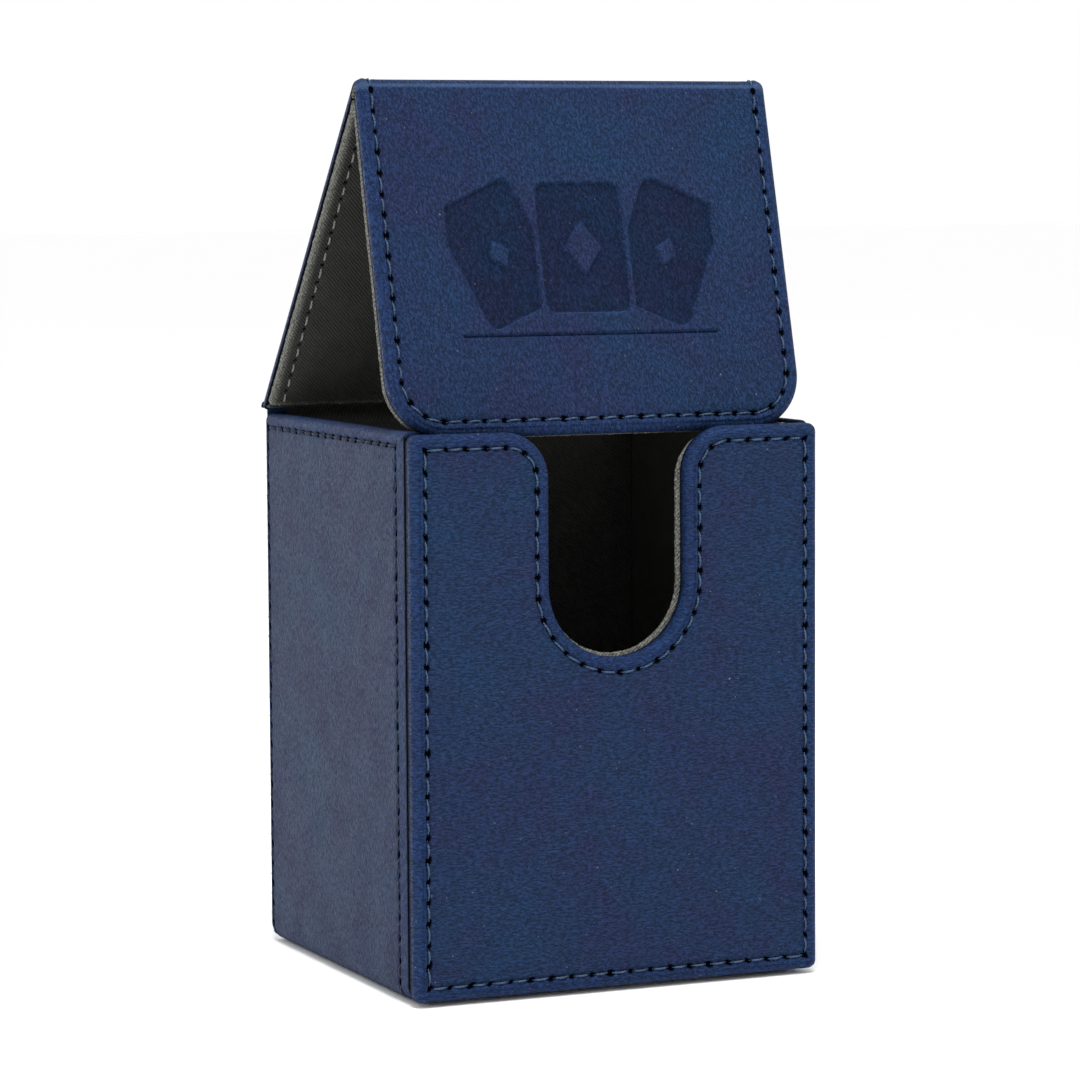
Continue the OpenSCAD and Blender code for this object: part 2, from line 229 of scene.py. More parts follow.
class Outline:
    """A path of square corners, counterclockwise, that can be drawn at any inset with the same samples.

    corners is a list of (x, y, radius). Where closed is False, the first and last are loose ends.
    A seam follows the path at seam[k] inside side k. Stitch holes are spaced along it.
    """

    def __init__(self, corners, seam, closed=True, starts=(0, 0), seed=1, fine=14):
        self.v = np.array([c[:2] for c in corners], float)
        self.r = [c[2] for c in corners]
        self.closed = closed
        count = len(corners) if closed else len(corners) - 1
        self.sides = count
        ends = np.roll(self.v, -1, axis=0)[:count]
        way = ends - self.v[:count]
        self.d = way / np.linalg.norm(way, axis=1, keepdims=True)
        self.n = np.stack([-self.d[:, 1], self.d[:, 0]], axis=1)
        self.seam = np.broadcast_to(np.asarray(seam, float), (count,)).copy()
        self.prims = self.primitives()
        self.sample(starts, seed, fine)

    def primitives(self):
        """The path's pieces in order: sides and the turns between them."""
        prims = []
        for k in range(self.sides):
            prims.append(("side", k))
            if self.closed or k < self.sides - 1:
                prims.append(("turn", k))
        return prims

    def corner(self, c, insets):
        """Corner c moved in: (point, radius, side before, side after, whether it turns left)."""
        after = c % len(self.v) if self.closed else c
        before = (c - 1) % self.sides
        after = after % self.sides
        point = self.v[c % len(self.v)] + insets[before] * self.n[before] + insets[after] * self.n[after]
        left = self.d[before][0] * self.d[after][1] - self.d[before][1] * self.d[after][0] > 0
        inset = (insets[before] + insets[after]) / 2
        r = self.r[c % len(self.v)]
        r = max(r - inset, 0.1) if left else r + inset
        return point, r, before, after, left

    def side_ends(self, k, insets):
        if not self.closed and k == 0:
            start = self.v[0] + insets[0] * self.n[0]
        else:
            point, r, *_ = self.corner(k, insets)
            start = point + self.d[k] * r
        if not self.closed and k == self.sides - 1:
            return start, self.v[-1] + insets[-1] * self.n[-1]
        point, r, *_ = self.corner(k + 1, insets)
        return start, point - self.d[k] * r

    def points(self, prim, t, insets):
        """Points at shares t of one primitive, at the given inset of each side."""
        kind, k = prim
        t = np.asarray(t, float)[:, None]
        if kind == "side":
            a, b = self.side_ends(k, insets)
            return a + (b - a) * t
        point, r, before, after, left = self.corner(k + 1, insets)
        across, on = np.cos(t * math.pi / 2), np.sin(t * math.pi / 2)
        if left:
            centre = point + r * (self.n[before] - self.d[before])
            return centre - r * (self.n[before] * across + self.n[after] * on)
        centre = point - r * (self.n[before] + self.d[before])
        return centre + r * (self.n[before] * across + self.n[after] * on)

    def length(self, prim, insets):
        kind, k = prim
        if kind == "side":
            a, b = self.side_ends(k, insets)
            return float(np.linalg.norm(b - a))
        return self.corner(k + 1, insets)[1] * math.pi / 2

    def runs(self):
        """Stretches of the seam between its square corners, as lists of primitives."""
        square = []
        for i, prim in enumerate(self.prims):
            if prim[0] == "turn" and self.length(prim, self.seam) < 0.3:
                square.append(i)
        if not self.closed:
            cuts = [-1] + square + [len(self.prims)]
            return [list(range(a + 1, b)) for a, b in zip(cuts, cuts[1:])], square
        if not square:
            return [list(range(len(self.prims)))], square
        total = len(self.prims)
        found = []
        for a, b in zip(square, square[1:] + [square[0] + total]):
            found.append([i % total for i in range(a + 1, b)])
        return found, square

    def sample(self, starts, seed, fine):
        """Chooses the samples: close together at the needle holes and further apart between them."""
        jitter = np.random.default_rng(seed)
        warp = np.linspace(0, 1, fine, endpoint=False)
        warp = warp - 0.8 * np.sin(2 * math.pi * warp) / (2 * math.pi)
        self.stitches = []
        runs, square = self.runs()
        chosen = {i: (np.linspace(0, 1, 7), np.zeros(7), np.zeros(7, int)) for i in square}
        for order, run in enumerate(runs):
            sizes = [self.length(self.prims[i], self.seam) for i in run]
            ends = np.concatenate([[0], np.cumsum(sizes)])
            first = starts[0] if order == 0 else 0
            last = ends[-1] - (starts[1] if order == len(runs) - 1 else 0)
            holes, marks = needle_row(first, last, ends[-1], jitter, warp)
            self.stitches.append((run, ends, holes))
            for i, a, b in zip(run, ends, ends[1:]):
                chosen[i] = samples_between(a, b, marks, holes)
        self.picks = []
        for i, prim in enumerate(self.prims):
            t, near, which = chosen[i]
            keep = slice(0, -1) if self.closed or i < len(self.prims) - 1 else slice(None)
            self.picks.append((prim, t[keep], near[keep], which[keep] + 1000 * i))
        self.near = np.concatenate([p[2] for p in self.picks])
        share = np.random.default_rng(seed + 50).normal(1, 0.13, 200000)
        self.hole_size = np.clip(share[np.concatenate([p[3] for p in self.picks])], 0.75, 1.3)
        self.count = len(self.near)

    def ring(self, insets):
        insets = np.broadcast_to(np.asarray(insets, float), (self.sides,))
        return np.concatenate([self.points(prim, t, insets) for prim, t, *_ in self.picks])

    def side_values(self, values):
        """One value per sample from one value per side, halved out over the turns."""
        values = np.broadcast_to(np.asarray(values, float), (self.sides,))
        parts = []
        for (kind, k), t, *_ in self.picks:
            if kind == "side":
                parts.append(np.full(len(t), values[k]))
            else:
                parts.append(values[k] + (values[(k + 1) % self.sides] - values[k]) * t)
        return np.concatenate(parts)

    def seam_at(self, run, ends, s):
        """Points on the seam at distances s along a run."""
        out = np.zeros((len(s), 2))
        for i, a, b in zip(run, ends, ends[1:]):
            here = (s >= a - 1e-6) & (s <= b + 1e-6)
            if here.any() and b > a:
                out[here] = self.points(self.prims[i], (s[here] - a) / (b - a), self.seam)
        return out


# ---- Meshes ----

def fill(loop, inside=None, hole=None):
    """Triangles over a closed loop of 2D points, with further points inside it.

    hole is a second closed loop that is left open. Returns the points in order loop, hole, inside.
    """
    points = [loop] + ([hole] if hole is not None else [])
    edges = []
    offset = 0
    for part in points:
        n = len(part)
        edges += [(offset + i, offset + (i + 1) % n) for i in range(n)]
        offset += n
    if inside is not None and len(inside):
        points.append(inside)
    flat = np.concatenate(points)
    made = geometry.delaunay_2d_cdt([Vector(p) for p in flat], edges, [], 1, 1e-6)
    _, _, faces, origin, _, _ = made
    back = [o[0] if o else -1 for o in origin]
    out = []
    for face in faces:
        ids = [back[i] for i in face]
        if min(ids) < 0:
            continue
        if hole is not None:
            middle = flat[ids].mean(axis=0)
            low, high = hole.min(axis=0), hole.max(axis=0)
            if (middle > low).all() and (middle < high).all():
                continue
        out.append(ids)
    return flat, out


def inner_points(loop, step, seed, gap, hole=None):
    """Points about step apart inside a loop, gap clear of it and of the box round the hole."""
    low, high = loop.min(axis=0), loop.max(axis=0)
    xs = np.arange(low[0] + gap, high[0] - gap, step)
    ys = np.arange(low[1] + gap, high[1] - gap, step)
    grid = np.stack(np.meshgrid(xs, ys), axis=-1).reshape(-1, 2)
    grid += np.random.default_rng(seed).uniform(-0.2, 0.2, grid.shape) * step
    thin = loop[::4]
    keep = np.ones(len(grid), bool)
    for start in range(0, len(grid), 500):
        part = grid[start:start + 500]
        far = np.min(np.sum((part[:, None] - thin[None]) ** 2, axis=2), axis=1) > gap * gap
        keep[start:start + 500] = far & in_loop(part, thin)
    if hole is not None:
        a, b = hole.min(axis=0) - gap, hole.max(axis=0) + gap
        keep &= ~((grid > a) & (grid < b)).all(axis=1)
    return grid[keep]


def in_loop(points, loop):
    x, y = points[:, 0:1], points[:, 1:2]
    ax, ay = loop[:, 0], loop[:, 1]
    bx, by = np.roll(ax, -1), np.roll(ay, -1)
    cross = ((ay > y) != (by > y)) & (x < (bx - ax) * (y - ay) / (by - ay + 1e-12) + ax)
    return cross.sum(axis=1) % 2 == 1


def new_object(name, data):
    obj = bpy.data.objects.new(name, data)
    bpy.context.scene.collection.objects.link(obj)
    return obj


def add_mesh(name, points, faces, place, material, cloth=None, mark=None, rim=None):
    """A Blender object from panel points in millimetres.

    cloth keeps where each point lay when flat. mark is the share of a material's second colour: in leather,
    the painted shade of a needle hole and of the gap to the next panel, and the darker pressed emblem; in a
    fabric, the pale cut edge and, below 0, the painted shade of its needle holes. rim is 1 on a turned edge,
    and goes on to 2 where the leather is worn and where a highlight is painted on it.
    """
    mesh = bpy.data.meshes.new(name)
    mesh.from_pydata((place(points) * MM).tolist(), [], faces)
    lay = mesh.attributes.new("cloth", "FLOAT_VECTOR", "POINT")
    lay.data.foreach_set("vector", ((points if cloth is None else cloth) * MM).astype(np.float32).ravel())
    for key, values in (("mark", mark), ("rim", rim)):
        share = mesh.attributes.new(key, "FLOAT", "POINT")
        values = np.zeros(len(points)) if values is None else values
        share.data.foreach_set("value", values.astype(np.float32))
    mesh.materials.append(material)
    close(mesh)
    mesh.polygons.foreach_set("use_smooth", [True] * len(mesh.polygons))
    mesh.set_sharp_from_angle(angle=math.radians(65))
    return new_object(name, mesh)


def close(mesh):
    """Closes open ends, splits big faces and makes all faces look outwards."""
    bm = bmesh.new()
    bm.from_mesh(mesh)
    open_edges = [e for e in bm.edges if e.is_boundary]
    if open_edges:
        bmesh.ops.holes_fill(bm, edges=open_edges, sides=0)
    large = [f for f in bm.faces if len(f.verts) > 4]
    if large:
        bmesh.ops.triangulate(bm, faces=large)
    loose = [v for v in bm.verts if not v.link_faces]
    bmesh.ops.delete(bm, geom=loose, context="VERTS")
    bmesh.ops.recalc_face_normals(bm, faces=bm.faces)
    bm.to_mesh(mesh)
    bm.free()


class Rings:
    """Rings of the same samples, each with its points' marks and rims."""

    def __init__(self, count):
        self.count = count
        self.points, self.marks, self.rims = [], [], []

    def add(self, flat, height, mark, rim):
        self.points.append(np.column_stack([flat, np.broadcast_to(height, self.count)]))
        self.marks.append(np.broadcast_to(mark, self.count))
        self.rims.append(np.broadcast_to(rim, self.count))

    def mirror(self):
        """Adds the other half, mirrored over x = 0. The last ring is the one in the middle."""
        self.points += [ring * np.array([-1, 1, 1]) for ring in self.points[-2::-1]]
        self.marks += self.marks[-2::-1]
        self.rims += self.rims[-2::-1]


def cap(points, faces, start, loop, inside=None, hole=None, height=None, flip=False):
    """Fills the loop that begins at point number start. height(x, y) is for the points inside it."""
    flat, made = fill(loop, inside, hole)
    extra = flat[len(loop):]
    ids = np.concatenate([np.arange(len(loop)) + start, np.arange(len(extra)) + len(points)])
    faces = faces + [[int(ids[i]) for i in face][::-1 if flip else 1] for face in made]
    if len(extra):
        points = np.concatenate([points, np.column_stack([extra, height(extra[:, 0], extra[:, 1])])])
    return points, faces


def lofted(n, rings, closed):
    """Points and faces of rings of n samples each, every ring an (n, 3) array."""
    points = np.concatenate(rings)
    faces = []
    last = n if closed else n - 1
    for j in range(len(rings) - 1):
        a = j * n
        b = a + n
        faces += [[a + i, a + (i + 1) % n, b + (i + 1) % n, b + i] for i in range(last)]
    return points, faces


# ---- Leather panels ----

HOLE_LONG, HOLE_WIDE = 0.6, 0.42  # half length and half width of a needle hole
# How far from the seam's line a panel has its rings of points.
SEAM_RINGS = (-1.25, -0.95, -0.7, -0.5, -0.37, -0.27, -0.18, -0.09, 0,
              0.09, 0.18, 0.27, 0.37, 0.5, 0.7, 0.95, 1.25, 1.8)


def seam_relief(near, off, size):
    """Height and mask of painted shade in the needle hole, of leather that is off from a seam's line and near
    to a needle hole.
    """
    reach = np.sqrt((near / (HOLE_LONG * size)) ** 2 + (off / (HOLE_WIDE * size)) ** 2)
    groove = -0.24 * bell(off, 0.45) - 0.12 * bell(off, 0.95) * bell(near, 0.9)
    puff = 0.07 * bell(abs(off) - 0.95, 0.45) * (1 - bell(near, 1.1))
    dimple = -0.5 * smooth((1.0 - reach) / 0.5)
    # The mask blackens the needle hole and its rim as painted shade.
    mark = smooth((1.32 - reach) / 0.3)
    return np.maximum(groove + puff + dimple, 0.08 - SKIN), mark


def margin_rise(inset):
    """The roll of a turned edge, between the edge and its seam."""
    return 0.17 * bell(inset - 1.6, 0.55)


def rim_profile(front_r, back_r, shell):
    """(inset, height) pairs from the inside of the skin, round the edge, to the outer face."""
    back = [(SKIN, -SKIN), (SKIN, -shell)] if shell > SKIN + 0.01 else [(back_r, -shell)]
    back += edge_round(back_r, -82, 0, 5, -shell + back_r, back_r)
    return back + edge_round(front_r, 0, 90, 10, -front_r, front_r)


def gap_shade(z, shell):
    """How far a turned edge goes dark, down in the gap to the next panel."""
    return 0.95 * smooth((0.9 - (z + shell)) / 0.3)


def edge_round(r, turn_from, turn_to, count, z0, inset0):
    """Insets and heights along a quarter round of radius r."""
    a = np.radians(np.linspace(turn_from, turn_to, count))
    return [(inset0 - r * math.cos(t), z0 + r * math.sin(t)) for t in a]


def add_seam(rings, outline, least, height_at):
    """Adds the rings over a panel's seam, none of them nearer to an edge than least."""
    for order, off in enumerate(SEAM_RINGS):
        insets = np.maximum(outline.seam + off, least + 0.01 * order)
        used, flat = outline.side_values(insets), outline.ring(insets)
        relief, mark = seam_relief(outline.near, used - outline.side_values(outline.seam), outline.hole_size)
        rings.add(flat, height_at(relief, used, flat), mark, smooth(-off / 0.6))


def leather_panel(name, outline, place, material, shell, front_r, back_r, seed, emblem=None, lay=None):
    """A board's leather: its outer face with the seam in it, its edge, and the inside of the skin."""
    def ripple(x, y):
        calm = 1 if outline.closed else smooth(abs(y - outline.v[0][1]) / 5)
        return 0.05 * calm * wander(x, y, 9, seed)

    rings = Rings(outline.count)
    for inset, z in rim_profile(front_r, back_r, shell):
        flat = outline.ring(inset)
        height = z + smooth((z + front_r) / front_r) * ripple(flat[:, 0], flat[:, 1])
        rings.add(flat, height, gap_shade(z, shell) if shell > SKIN else 0.0, 1.0)
    add_seam(rings, outline, front_r + 0.04,
             lambda relief, used, flat: relief + margin_rise(used) + ripple(flat[:, 0], flat[:, 1]))
    points, faces = lofted(outline.count, rings.points, outline.closed)
    start = len(points)
    loop = rings.points[-1][:, :2]
    hole = emblem[0] if emblem else None
    inside = inner_points(loop, 2.2, seed, 0.9, hole)
    points, faces = cap(points, faces, start - outline.count, loop, inside, hole, ripple)
    mark, rim = filled(rings.marks, len(points)), filled(rings.rims, len(points))
    if emblem:
        ids = np.arange(len(hole)) + start
        points, faces, mark, wear_and_highlight = press_emblem(points, faces, mark, ids, emblem, ripple)
        rim = np.concatenate([rim, wear_and_highlight])
    points, faces = cap(points, faces, 0, rings.points[0][:, :2], flip=True)
    return add_mesh(name, points, faces, place, material, lay(points) if lay else points, mark, rim)


def filled(parts, count):
    """The given parts in one array, with zeros after them up to count."""
    values = np.concatenate(parts)
    return np.concatenate([values, np.zeros(count - len(values))])


# ---- Emblem: distances to its shapes, negative inside ----

def far_card(x, y, foot, turn, grow=0.0):
    c, s = math.cos(turn), math.sin(turn)
    px, py = c * (x - foot) + s * y, -s * (x - foot) + c * y - CARD_H / 2
    r = 2.0 + grow
    qx, qy = abs(px) - CARD_W / 2 - grow + r, abs(py) - CARD_H / 2 - grow + r
    return np.hypot(np.maximum(qx, 0), np.maximum(qy, 0)) + np.minimum(np.maximum(qx, qy), 0) - r


def far_diamond(x, y, foot, turn, size):
    c, s = math.cos(turn), math.sin(turn)
    px, py = c * (x - foot) + s * y, -s * (x - foot) + c * y - CARD_H / 2
    w, h = 0.22 * CARD_W * size, 0.21 * CARD_H * size
    return (abs(px) / w + abs(py) / h - 1) * w * h / math.hypot(w, h)


def far_emblem(x, y):
    fan = [(-EMBLEM_FAN, math.radians(24), 0.55), (EMBLEM_FAN, math.radians(-24), 0.55), (0, 0, 1)]
    near = np.full(x.shape, 99.0)
    for k, (foot, turn, size) in enumerate(fan):
        card = np.maximum(far_card(x, y, foot, turn), -far_diamond(x, y, foot, turn, size))
        for foot2, turn2, _ in fan[k + 1:]:
            card = np.maximum(card, -far_card(x, y, foot2, turn2, EMBLEM_LINE))
        near = np.minimum(near, card)
    rule = np.maximum(abs(x) - EMBLEM_RULE / 2, abs(y + 4 - EMBLEM_LINE / 4) - EMBLEM_LINE / 4)
    return np.minimum(near, rule)


def emblem_grid(y0, step):
    """The grid that the emblem is pressed into: (rim loop, xs, ys, height of its own y = 0)."""
    half_w = EMBLEM_RULE / 2 + 1.2
    nx, ny = round(2 * half_w / step), round((CARD_H + 8) / step)
    xs = np.linspace(-half_w, half_w, nx)
    ys = np.linspace(y0 - 5.5, y0 + CARD_H + 2.5, ny)
    low = np.column_stack([xs, np.full(nx, ys[0])])
    right = np.column_stack([np.full(ny, xs[-1]), ys])[1:]
    high = np.column_stack([xs[::-1], np.full(nx, ys[-1])])[1:]
    left = np.column_stack([np.full(ny, xs[0]), ys[::-1]])[1:-1]
    return np.concatenate([low, right, high, left]), xs, ys, y0


def press_emblem(points, faces, mark, rim, emblem, ripple):
    """Adds the pressed field to the flap's leather: darker in its shapes, with a painted highlight on their
    lower edges.

    rim lists the points that the field's edge shares with the leather round it.
    """
    _, xs, ys, y0 = emblem
    nx, ny = len(xs), len(ys)
    gx, gy = np.meshgrid(xs, ys)
    away = far_emblem(gx, gy - y0)
    pressed = smooth(0.5 - away / EMBLEM_EDGE)
    z = -EMBLEM_DEPTH * pressed + ripple(gx, gy) + 0.05 * bell(away - 0.45, 0.3)
    ids = np.full((ny, nx), -1)
    ids[0, :] = rim[:nx]
    ids[1:, -1] = rim[nx:nx + ny - 1]
    ids[-1, nx - 2::-1] = rim[nx + ny - 1:2 * nx + ny - 2]
    ids[ny - 2:0:-1, 0] = rim[2 * nx + ny - 2:]
    new = ids < 0
    ids[new] = np.arange(new.sum()) + len(points)
    points = np.concatenate([points, np.column_stack([gx[new], gy[new], z[new]])])
    mark = np.concatenate([mark, 0.42 * smooth(0.15 - away[new] / 0.3)])
    # Painted highlight: the lower edges of the pressed shapes, which face the light above, are given the
    # lighter worn colour.
    lower = np.clip(-np.gradient(away, ys, axis=0), 0, 1)
    wear_and_highlight = 1.6 * bell(away + 0.05, 0.17) * lower
    a, b, c, d = ids[:-1, :-1], ids[:-1, 1:], ids[1:, 1:], ids[1:, :-1]
    faces += np.stack([a, b, c, d], axis=-1).reshape(-1, 4).tolist()
    return points, faces, mark, wear_and_highlight[new]


# ---- Linings ----

def slab(name, outline, place, z_top, z_low, seed, seam=None, holes=None, lip=0.0, pale_over=-1e9):
    """A fabric layer between two depths, z_low being its visible face, with a soft pale cut edge.

    Where a seam goes through it, seam is the seam's inset and holes are its needle holes. lip is how
    far its edge is turned up round the board. Only the edge over the height pale_over is pale.
    """
    r, fuzz = 0.5 if lip else 0.28, 0.08
    profile = [(SKIN, z_top, 0.0, 0.0), (SKIN, z_top + lip, 0.0, 1.0)] if lip else [(SKIN, z_top, 0.0, 1.0)]
    profile += [(0.1, z_top + lip, 1.0, 1.0), (0.0, z_top + lip - 0.12, 1.0, 1.0)]
    for a in np.radians(np.linspace(0, 90, 6)):
        profile.append((r - r * math.cos(a), z_low + r - r * math.sin(a), 1.0, 1.0 - 0.3 * math.sin(a)))
    profile += [(r + 0.35, z_low, 0.4, 0.3), (r + 0.75, z_low, 0.0, 0.0)]
    seam_from = len(profile)
    if seam is not None:
        profile += [(seam + off, z_low, 0.0, 0.0) for off in (-0.45, -0.22, 0, 0.22, 0.45, 1.1)]
    rings, marks = [], []
    for order, (inset, z, wear_and_highlight, pale) in enumerate(profile):
        flat = outline.ring(inset)
        rough = fuzz * wander(flat[:, 0] + 3 * z, flat[:, 1], 1.3, seed + order % 3)
        rough = wear_and_highlight * (rough + 0.6 * fuzz * wander(flat[:, 0], flat[:, 1] + 5 * z, 0.45, seed + 9))
        shift = rough[:, None] * outline_normals(flat, outline.closed)
        mark = pale * (flat[:, 1] > pale_over)
        height = z + 0.4 * rough
        if order >= seam_from:
            far = np.min(np.linalg.norm(flat[:, None] - holes[None], axis=2), axis=1)
            # Below 0, mark is painted shade: the needle holes are blackened.
            mark = -smooth((0.42 - far) / 0.16)
            height = height + 0.3 * smooth((0.42 - far) / 0.3) + 0.1 * bell(inset - seam, 0.35)
        rings.append(np.column_stack([flat + shift, height]))
        marks.append(mark)
    points, faces = lofted(outline.count, rings, outline.closed)
    loop = rings[-1][:, :2]
    points, faces = cap(points, faces, len(points) - outline.count, loop, inner_points(loop, 1.6, seed, 0.8),
                        height=lambda x, y: z_low + 0.05 * wander(x, y, 7, seed))
    points, faces = cap(points, faces, 0, rings[0][:, :2], flip=True)
    return add_mesh(name, points, faces, place, LINING_CLOTH, mark=filled(marks, len(points)))


def outline_normals(flat, closed):
    way = np.roll(flat, -1, axis=0) - np.roll(flat, 1, axis=0)
    if not closed:
        way[0], way[-1] = flat[1] - flat[0], flat[-1] - flat[-2]
    way /= np.maximum(np.linalg.norm(way, axis=1, keepdims=True), 1e-9)
    return np.stack([-way[:, 1], way[:, 0]], axis=1)


# ---- Stitching ----

PLY_R, PLY_OFF = 0.12, 0.1        # a ply's radius, and how far it lies from the thread's middle
TWIST = 1.05                      # length of one twist
HOLE_CLEAR = 0.4                  # from the middle of a hole to the end of a stitch
AROUND, ALONG = 6, 17             # points round a ply, and along a stitch


def stitch_faces():
    faces = []
    for j in range(ALONG - 1):
        for i in range(AROUND):
            a, b = j * AROUND + i, j * AROUND + (i + 1) % AROUND
            faces.append([a, b, b + AROUND, a + AROUND])
    faces.append(list(range(AROUND))[::-1])
    faces.append([(ALONG - 1) * AROUND + i for i in range(AROUND)])
    return faces


def thread_rows(rows, side=1.0, base=0.0, lift=0.03, seed=5):
    """Two-ply stitches. Each row is a function from shares of one stitch to points on its line."""
    vary = np.random.default_rng(seed)
    points, faces, cloth = [], [], []
    pattern = stitch_faces()
    share = np.linspace(0, 1, ALONG)
    share = share - 0.5 * np.sin(2 * math.pi * share) / (2 * math.pi)
    for path in rows:
        middle = path(share)
        way = np.gradient(middle, axis=0)
        way /= np.linalg.norm(way, axis=1, keepdims=True)
        across = np.stack([-way[:, 1], way[:, 0]], axis=1)
        length = float(np.sum(np.linalg.norm(np.diff(middle, axis=0), axis=1)))
        slant = vary.normal(0.07, 0.02)
        middle = middle + across * ((share - 0.5) * 2 * slant)[:, None]
        along = np.minimum(share, 1 - share) * length
        dive = 1 - smooth(along / 1.15)
        hump = lift + vary.normal(0, 0.012) + 0.03 * np.sin(math.pi * share)
        z = base + side * (hump - 0.52 * dive)
        phase = vary.uniform(0, 6.3)
        for ply in (0, math.pi):
            turn = 2 * math.pi * share * length / TWIST + phase + ply
            off = PLY_OFF * (1 - 0.35 * dive)
            centre = middle + across * (off * np.cos(turn))[:, None]
            height = z + off * np.sin(turn)
            thin = PLY_R * (1 - 0.25 * dive)
            start = len(points)
            for j in range(ALONG):
                ring = np.linspace(0, 2 * math.pi, AROUND, endpoint=False)
                flat = centre[j] + across[j] * (thin[j] * np.cos(ring))[:, None]
                tall = height[j] + thin[j] * np.sin(ring)
                points += np.column_stack([flat, tall]).tolist()
                cloth += np.column_stack([ring * thin[j], np.full(AROUND, share[j] * length + start * 0.37),
                                          np.full(AROUND, phase)]).tolist()
            faces += [[start + i for i in f] for f in pattern]
    return np.array(points), faces, np.array(cloth)


def seam_paths(outline):
    """For each stitch of an outline's seam, a function from shares to points."""
    rows = []
    for run, ends, holes in outline.stitches:
        for a, b in zip(holes, holes[1:]):
            rows.append(lambda t, run=run, ends=ends, a=a, b=b: outline.seam_at(
                run, ends, a + HOLE_CLEAR + (b - a - 2 * HOLE_CLEAR) * t))
    return rows


def needle_holes(outline):
    return np.concatenate([outline.seam_at(run, ends, holes) for run, ends, holes in outline.stitches])


def stitching(name, outline, place, under=None, mirror=False, material=None):
    """The thread over a seam, or with under, its other side that deep below the panel's face."""
    if under is None:
        points, faces, cloth = thread_rows(seam_paths(outline))
    else:
        points, faces, cloth = thread_rows(seam_paths(outline), side=-1.0, base=-under, lift=0.08, seed=6)
    if mirror:
        faces = faces + [[i + len(points) for i in f] for f in faces]
        points = np.concatenate([points, points * np.array([-1, 1, 1])])
        cloth = np.concatenate([cloth, cloth + 7.0])
    material = material or (THREAD if under is None else THREAD_GREY)
    return add_mesh(name, points, faces, place, material, cloth=cloth)


# ---- Folds ----

class Fold:
    """A bend round an axis, from one flat panel to another.

    Its flat points are (x, distance along from the start of the bend, height over the outer face).
    first and second are the panels' (direction away from the bend, normal) in y and z.
    """

    def __init__(self, axis, first, second, radius):
        self.axis, self.radius = axis, radius
        (self.back, n0), (self.on, n1) = first, second
        self.turns = math.atan2(n0[1], n0[0]), math.atan2(n1[1], n1[0])
        self.bend = (self.turns[1] - self.turns[0]) * radius

    def __call__(self, p):
        share = np.clip(p[:, 1] / self.bend, 0, 1)
        a = self.turns[0] + (self.turns[1] - self.turns[0]) * share
        yz = self.axis + (self.radius + p[:, 2])[:, None] * np.stack([np.cos(a), np.sin(a)], axis=1)
        yz = yz + np.maximum(-p[:, 1:2], 0) * self.back + np.maximum(p[:, 1:2] - self.bend, 0) * self.on
        return np.column_stack([p[:, 0], yz])

    def past(self, s):
        """How far distances s are past the bend, to either side."""
        return np.maximum(np.maximum(-s, s - self.bend), 0)

    def marks(self, before, after, gap=0.15):
        """Distances along the whole fold, close together."""
        parts = [np.linspace(-before, 0, round(before / gap) + 1)[:-1],
                 np.linspace(0, self.bend, 25)[:-1],
                 np.linspace(self.bend, self.bend + after, round(after / gap) + 1)]
        return np.concatenate(parts)


def band(name, fold, s, widths, insets, shape, material, lay, wear_and_highlight_share=lambda s: 0 * s):
    """A layer round a fold. shape(inset, s) gives its top, its underside and its mark.

    Its last argument gives the share of worn colour for each s along it, which on the ridge is also a painted
    highlight.
    """
    half = (widths[0] + (widths[1] - widths[0]) * np.clip(s / fold.bend, 0, 1)) / 2
    mean = sum(widths) / 4
    insets = np.concatenate([insets, np.linspace(insets[-1], mean, 14)[1:]])
    rings = Rings(2 * len(s))
    for inset in insets:
        x = -half * (1 - inset / mean)
        top, low, mark = shape(inset, s)
        turned = smooth((MARGIN - inset) / 0.6)
        used = turned + (1.55 - turned) * wear_and_highlight_share(s)
        flat = np.column_stack([x, s])
        rings.add(np.concatenate([flat, flat[::-1]]), np.concatenate([top, low[::-1]]),
                  np.concatenate([mark, mark[::-1] * (inset < 0.5)]), np.concatenate([used, used[::-1]]))
    rings.mirror()
    points, faces = lofted(rings.count, rings.points, True)
    first, last = range(rings.count), range(len(points) - rings.count, len(points))
    faces = [[a, d, c, b] for a, b, c, d in faces] + [list(first), list(last)[::-1]]
    return add_mesh(name, points, faces, fold, material, lay(points),
                    np.concatenate(rings.marks), np.concatenate(rings.rims))


def fold_thread(name, fold, spans, x_at):
    """Stitches that run over a fold, at both ends of it. spans are pairs of distances along."""
    rows = []
    for side in (-1, 1):
        for a, b in spans:
            def path(t, side=side, a=a, b=b):
                s = a + HOLE_CLEAR + (b - a - 2 * HOLE_CLEAR) * t
                return np.column_stack([side * x_at(s), s])
            rows.append(path)
    points, faces, cloth = thread_rows(rows, seed=8)
    return add_mesh(name, points, faces, fold, THREAD, cloth=cloth)


# ---- Materials ----

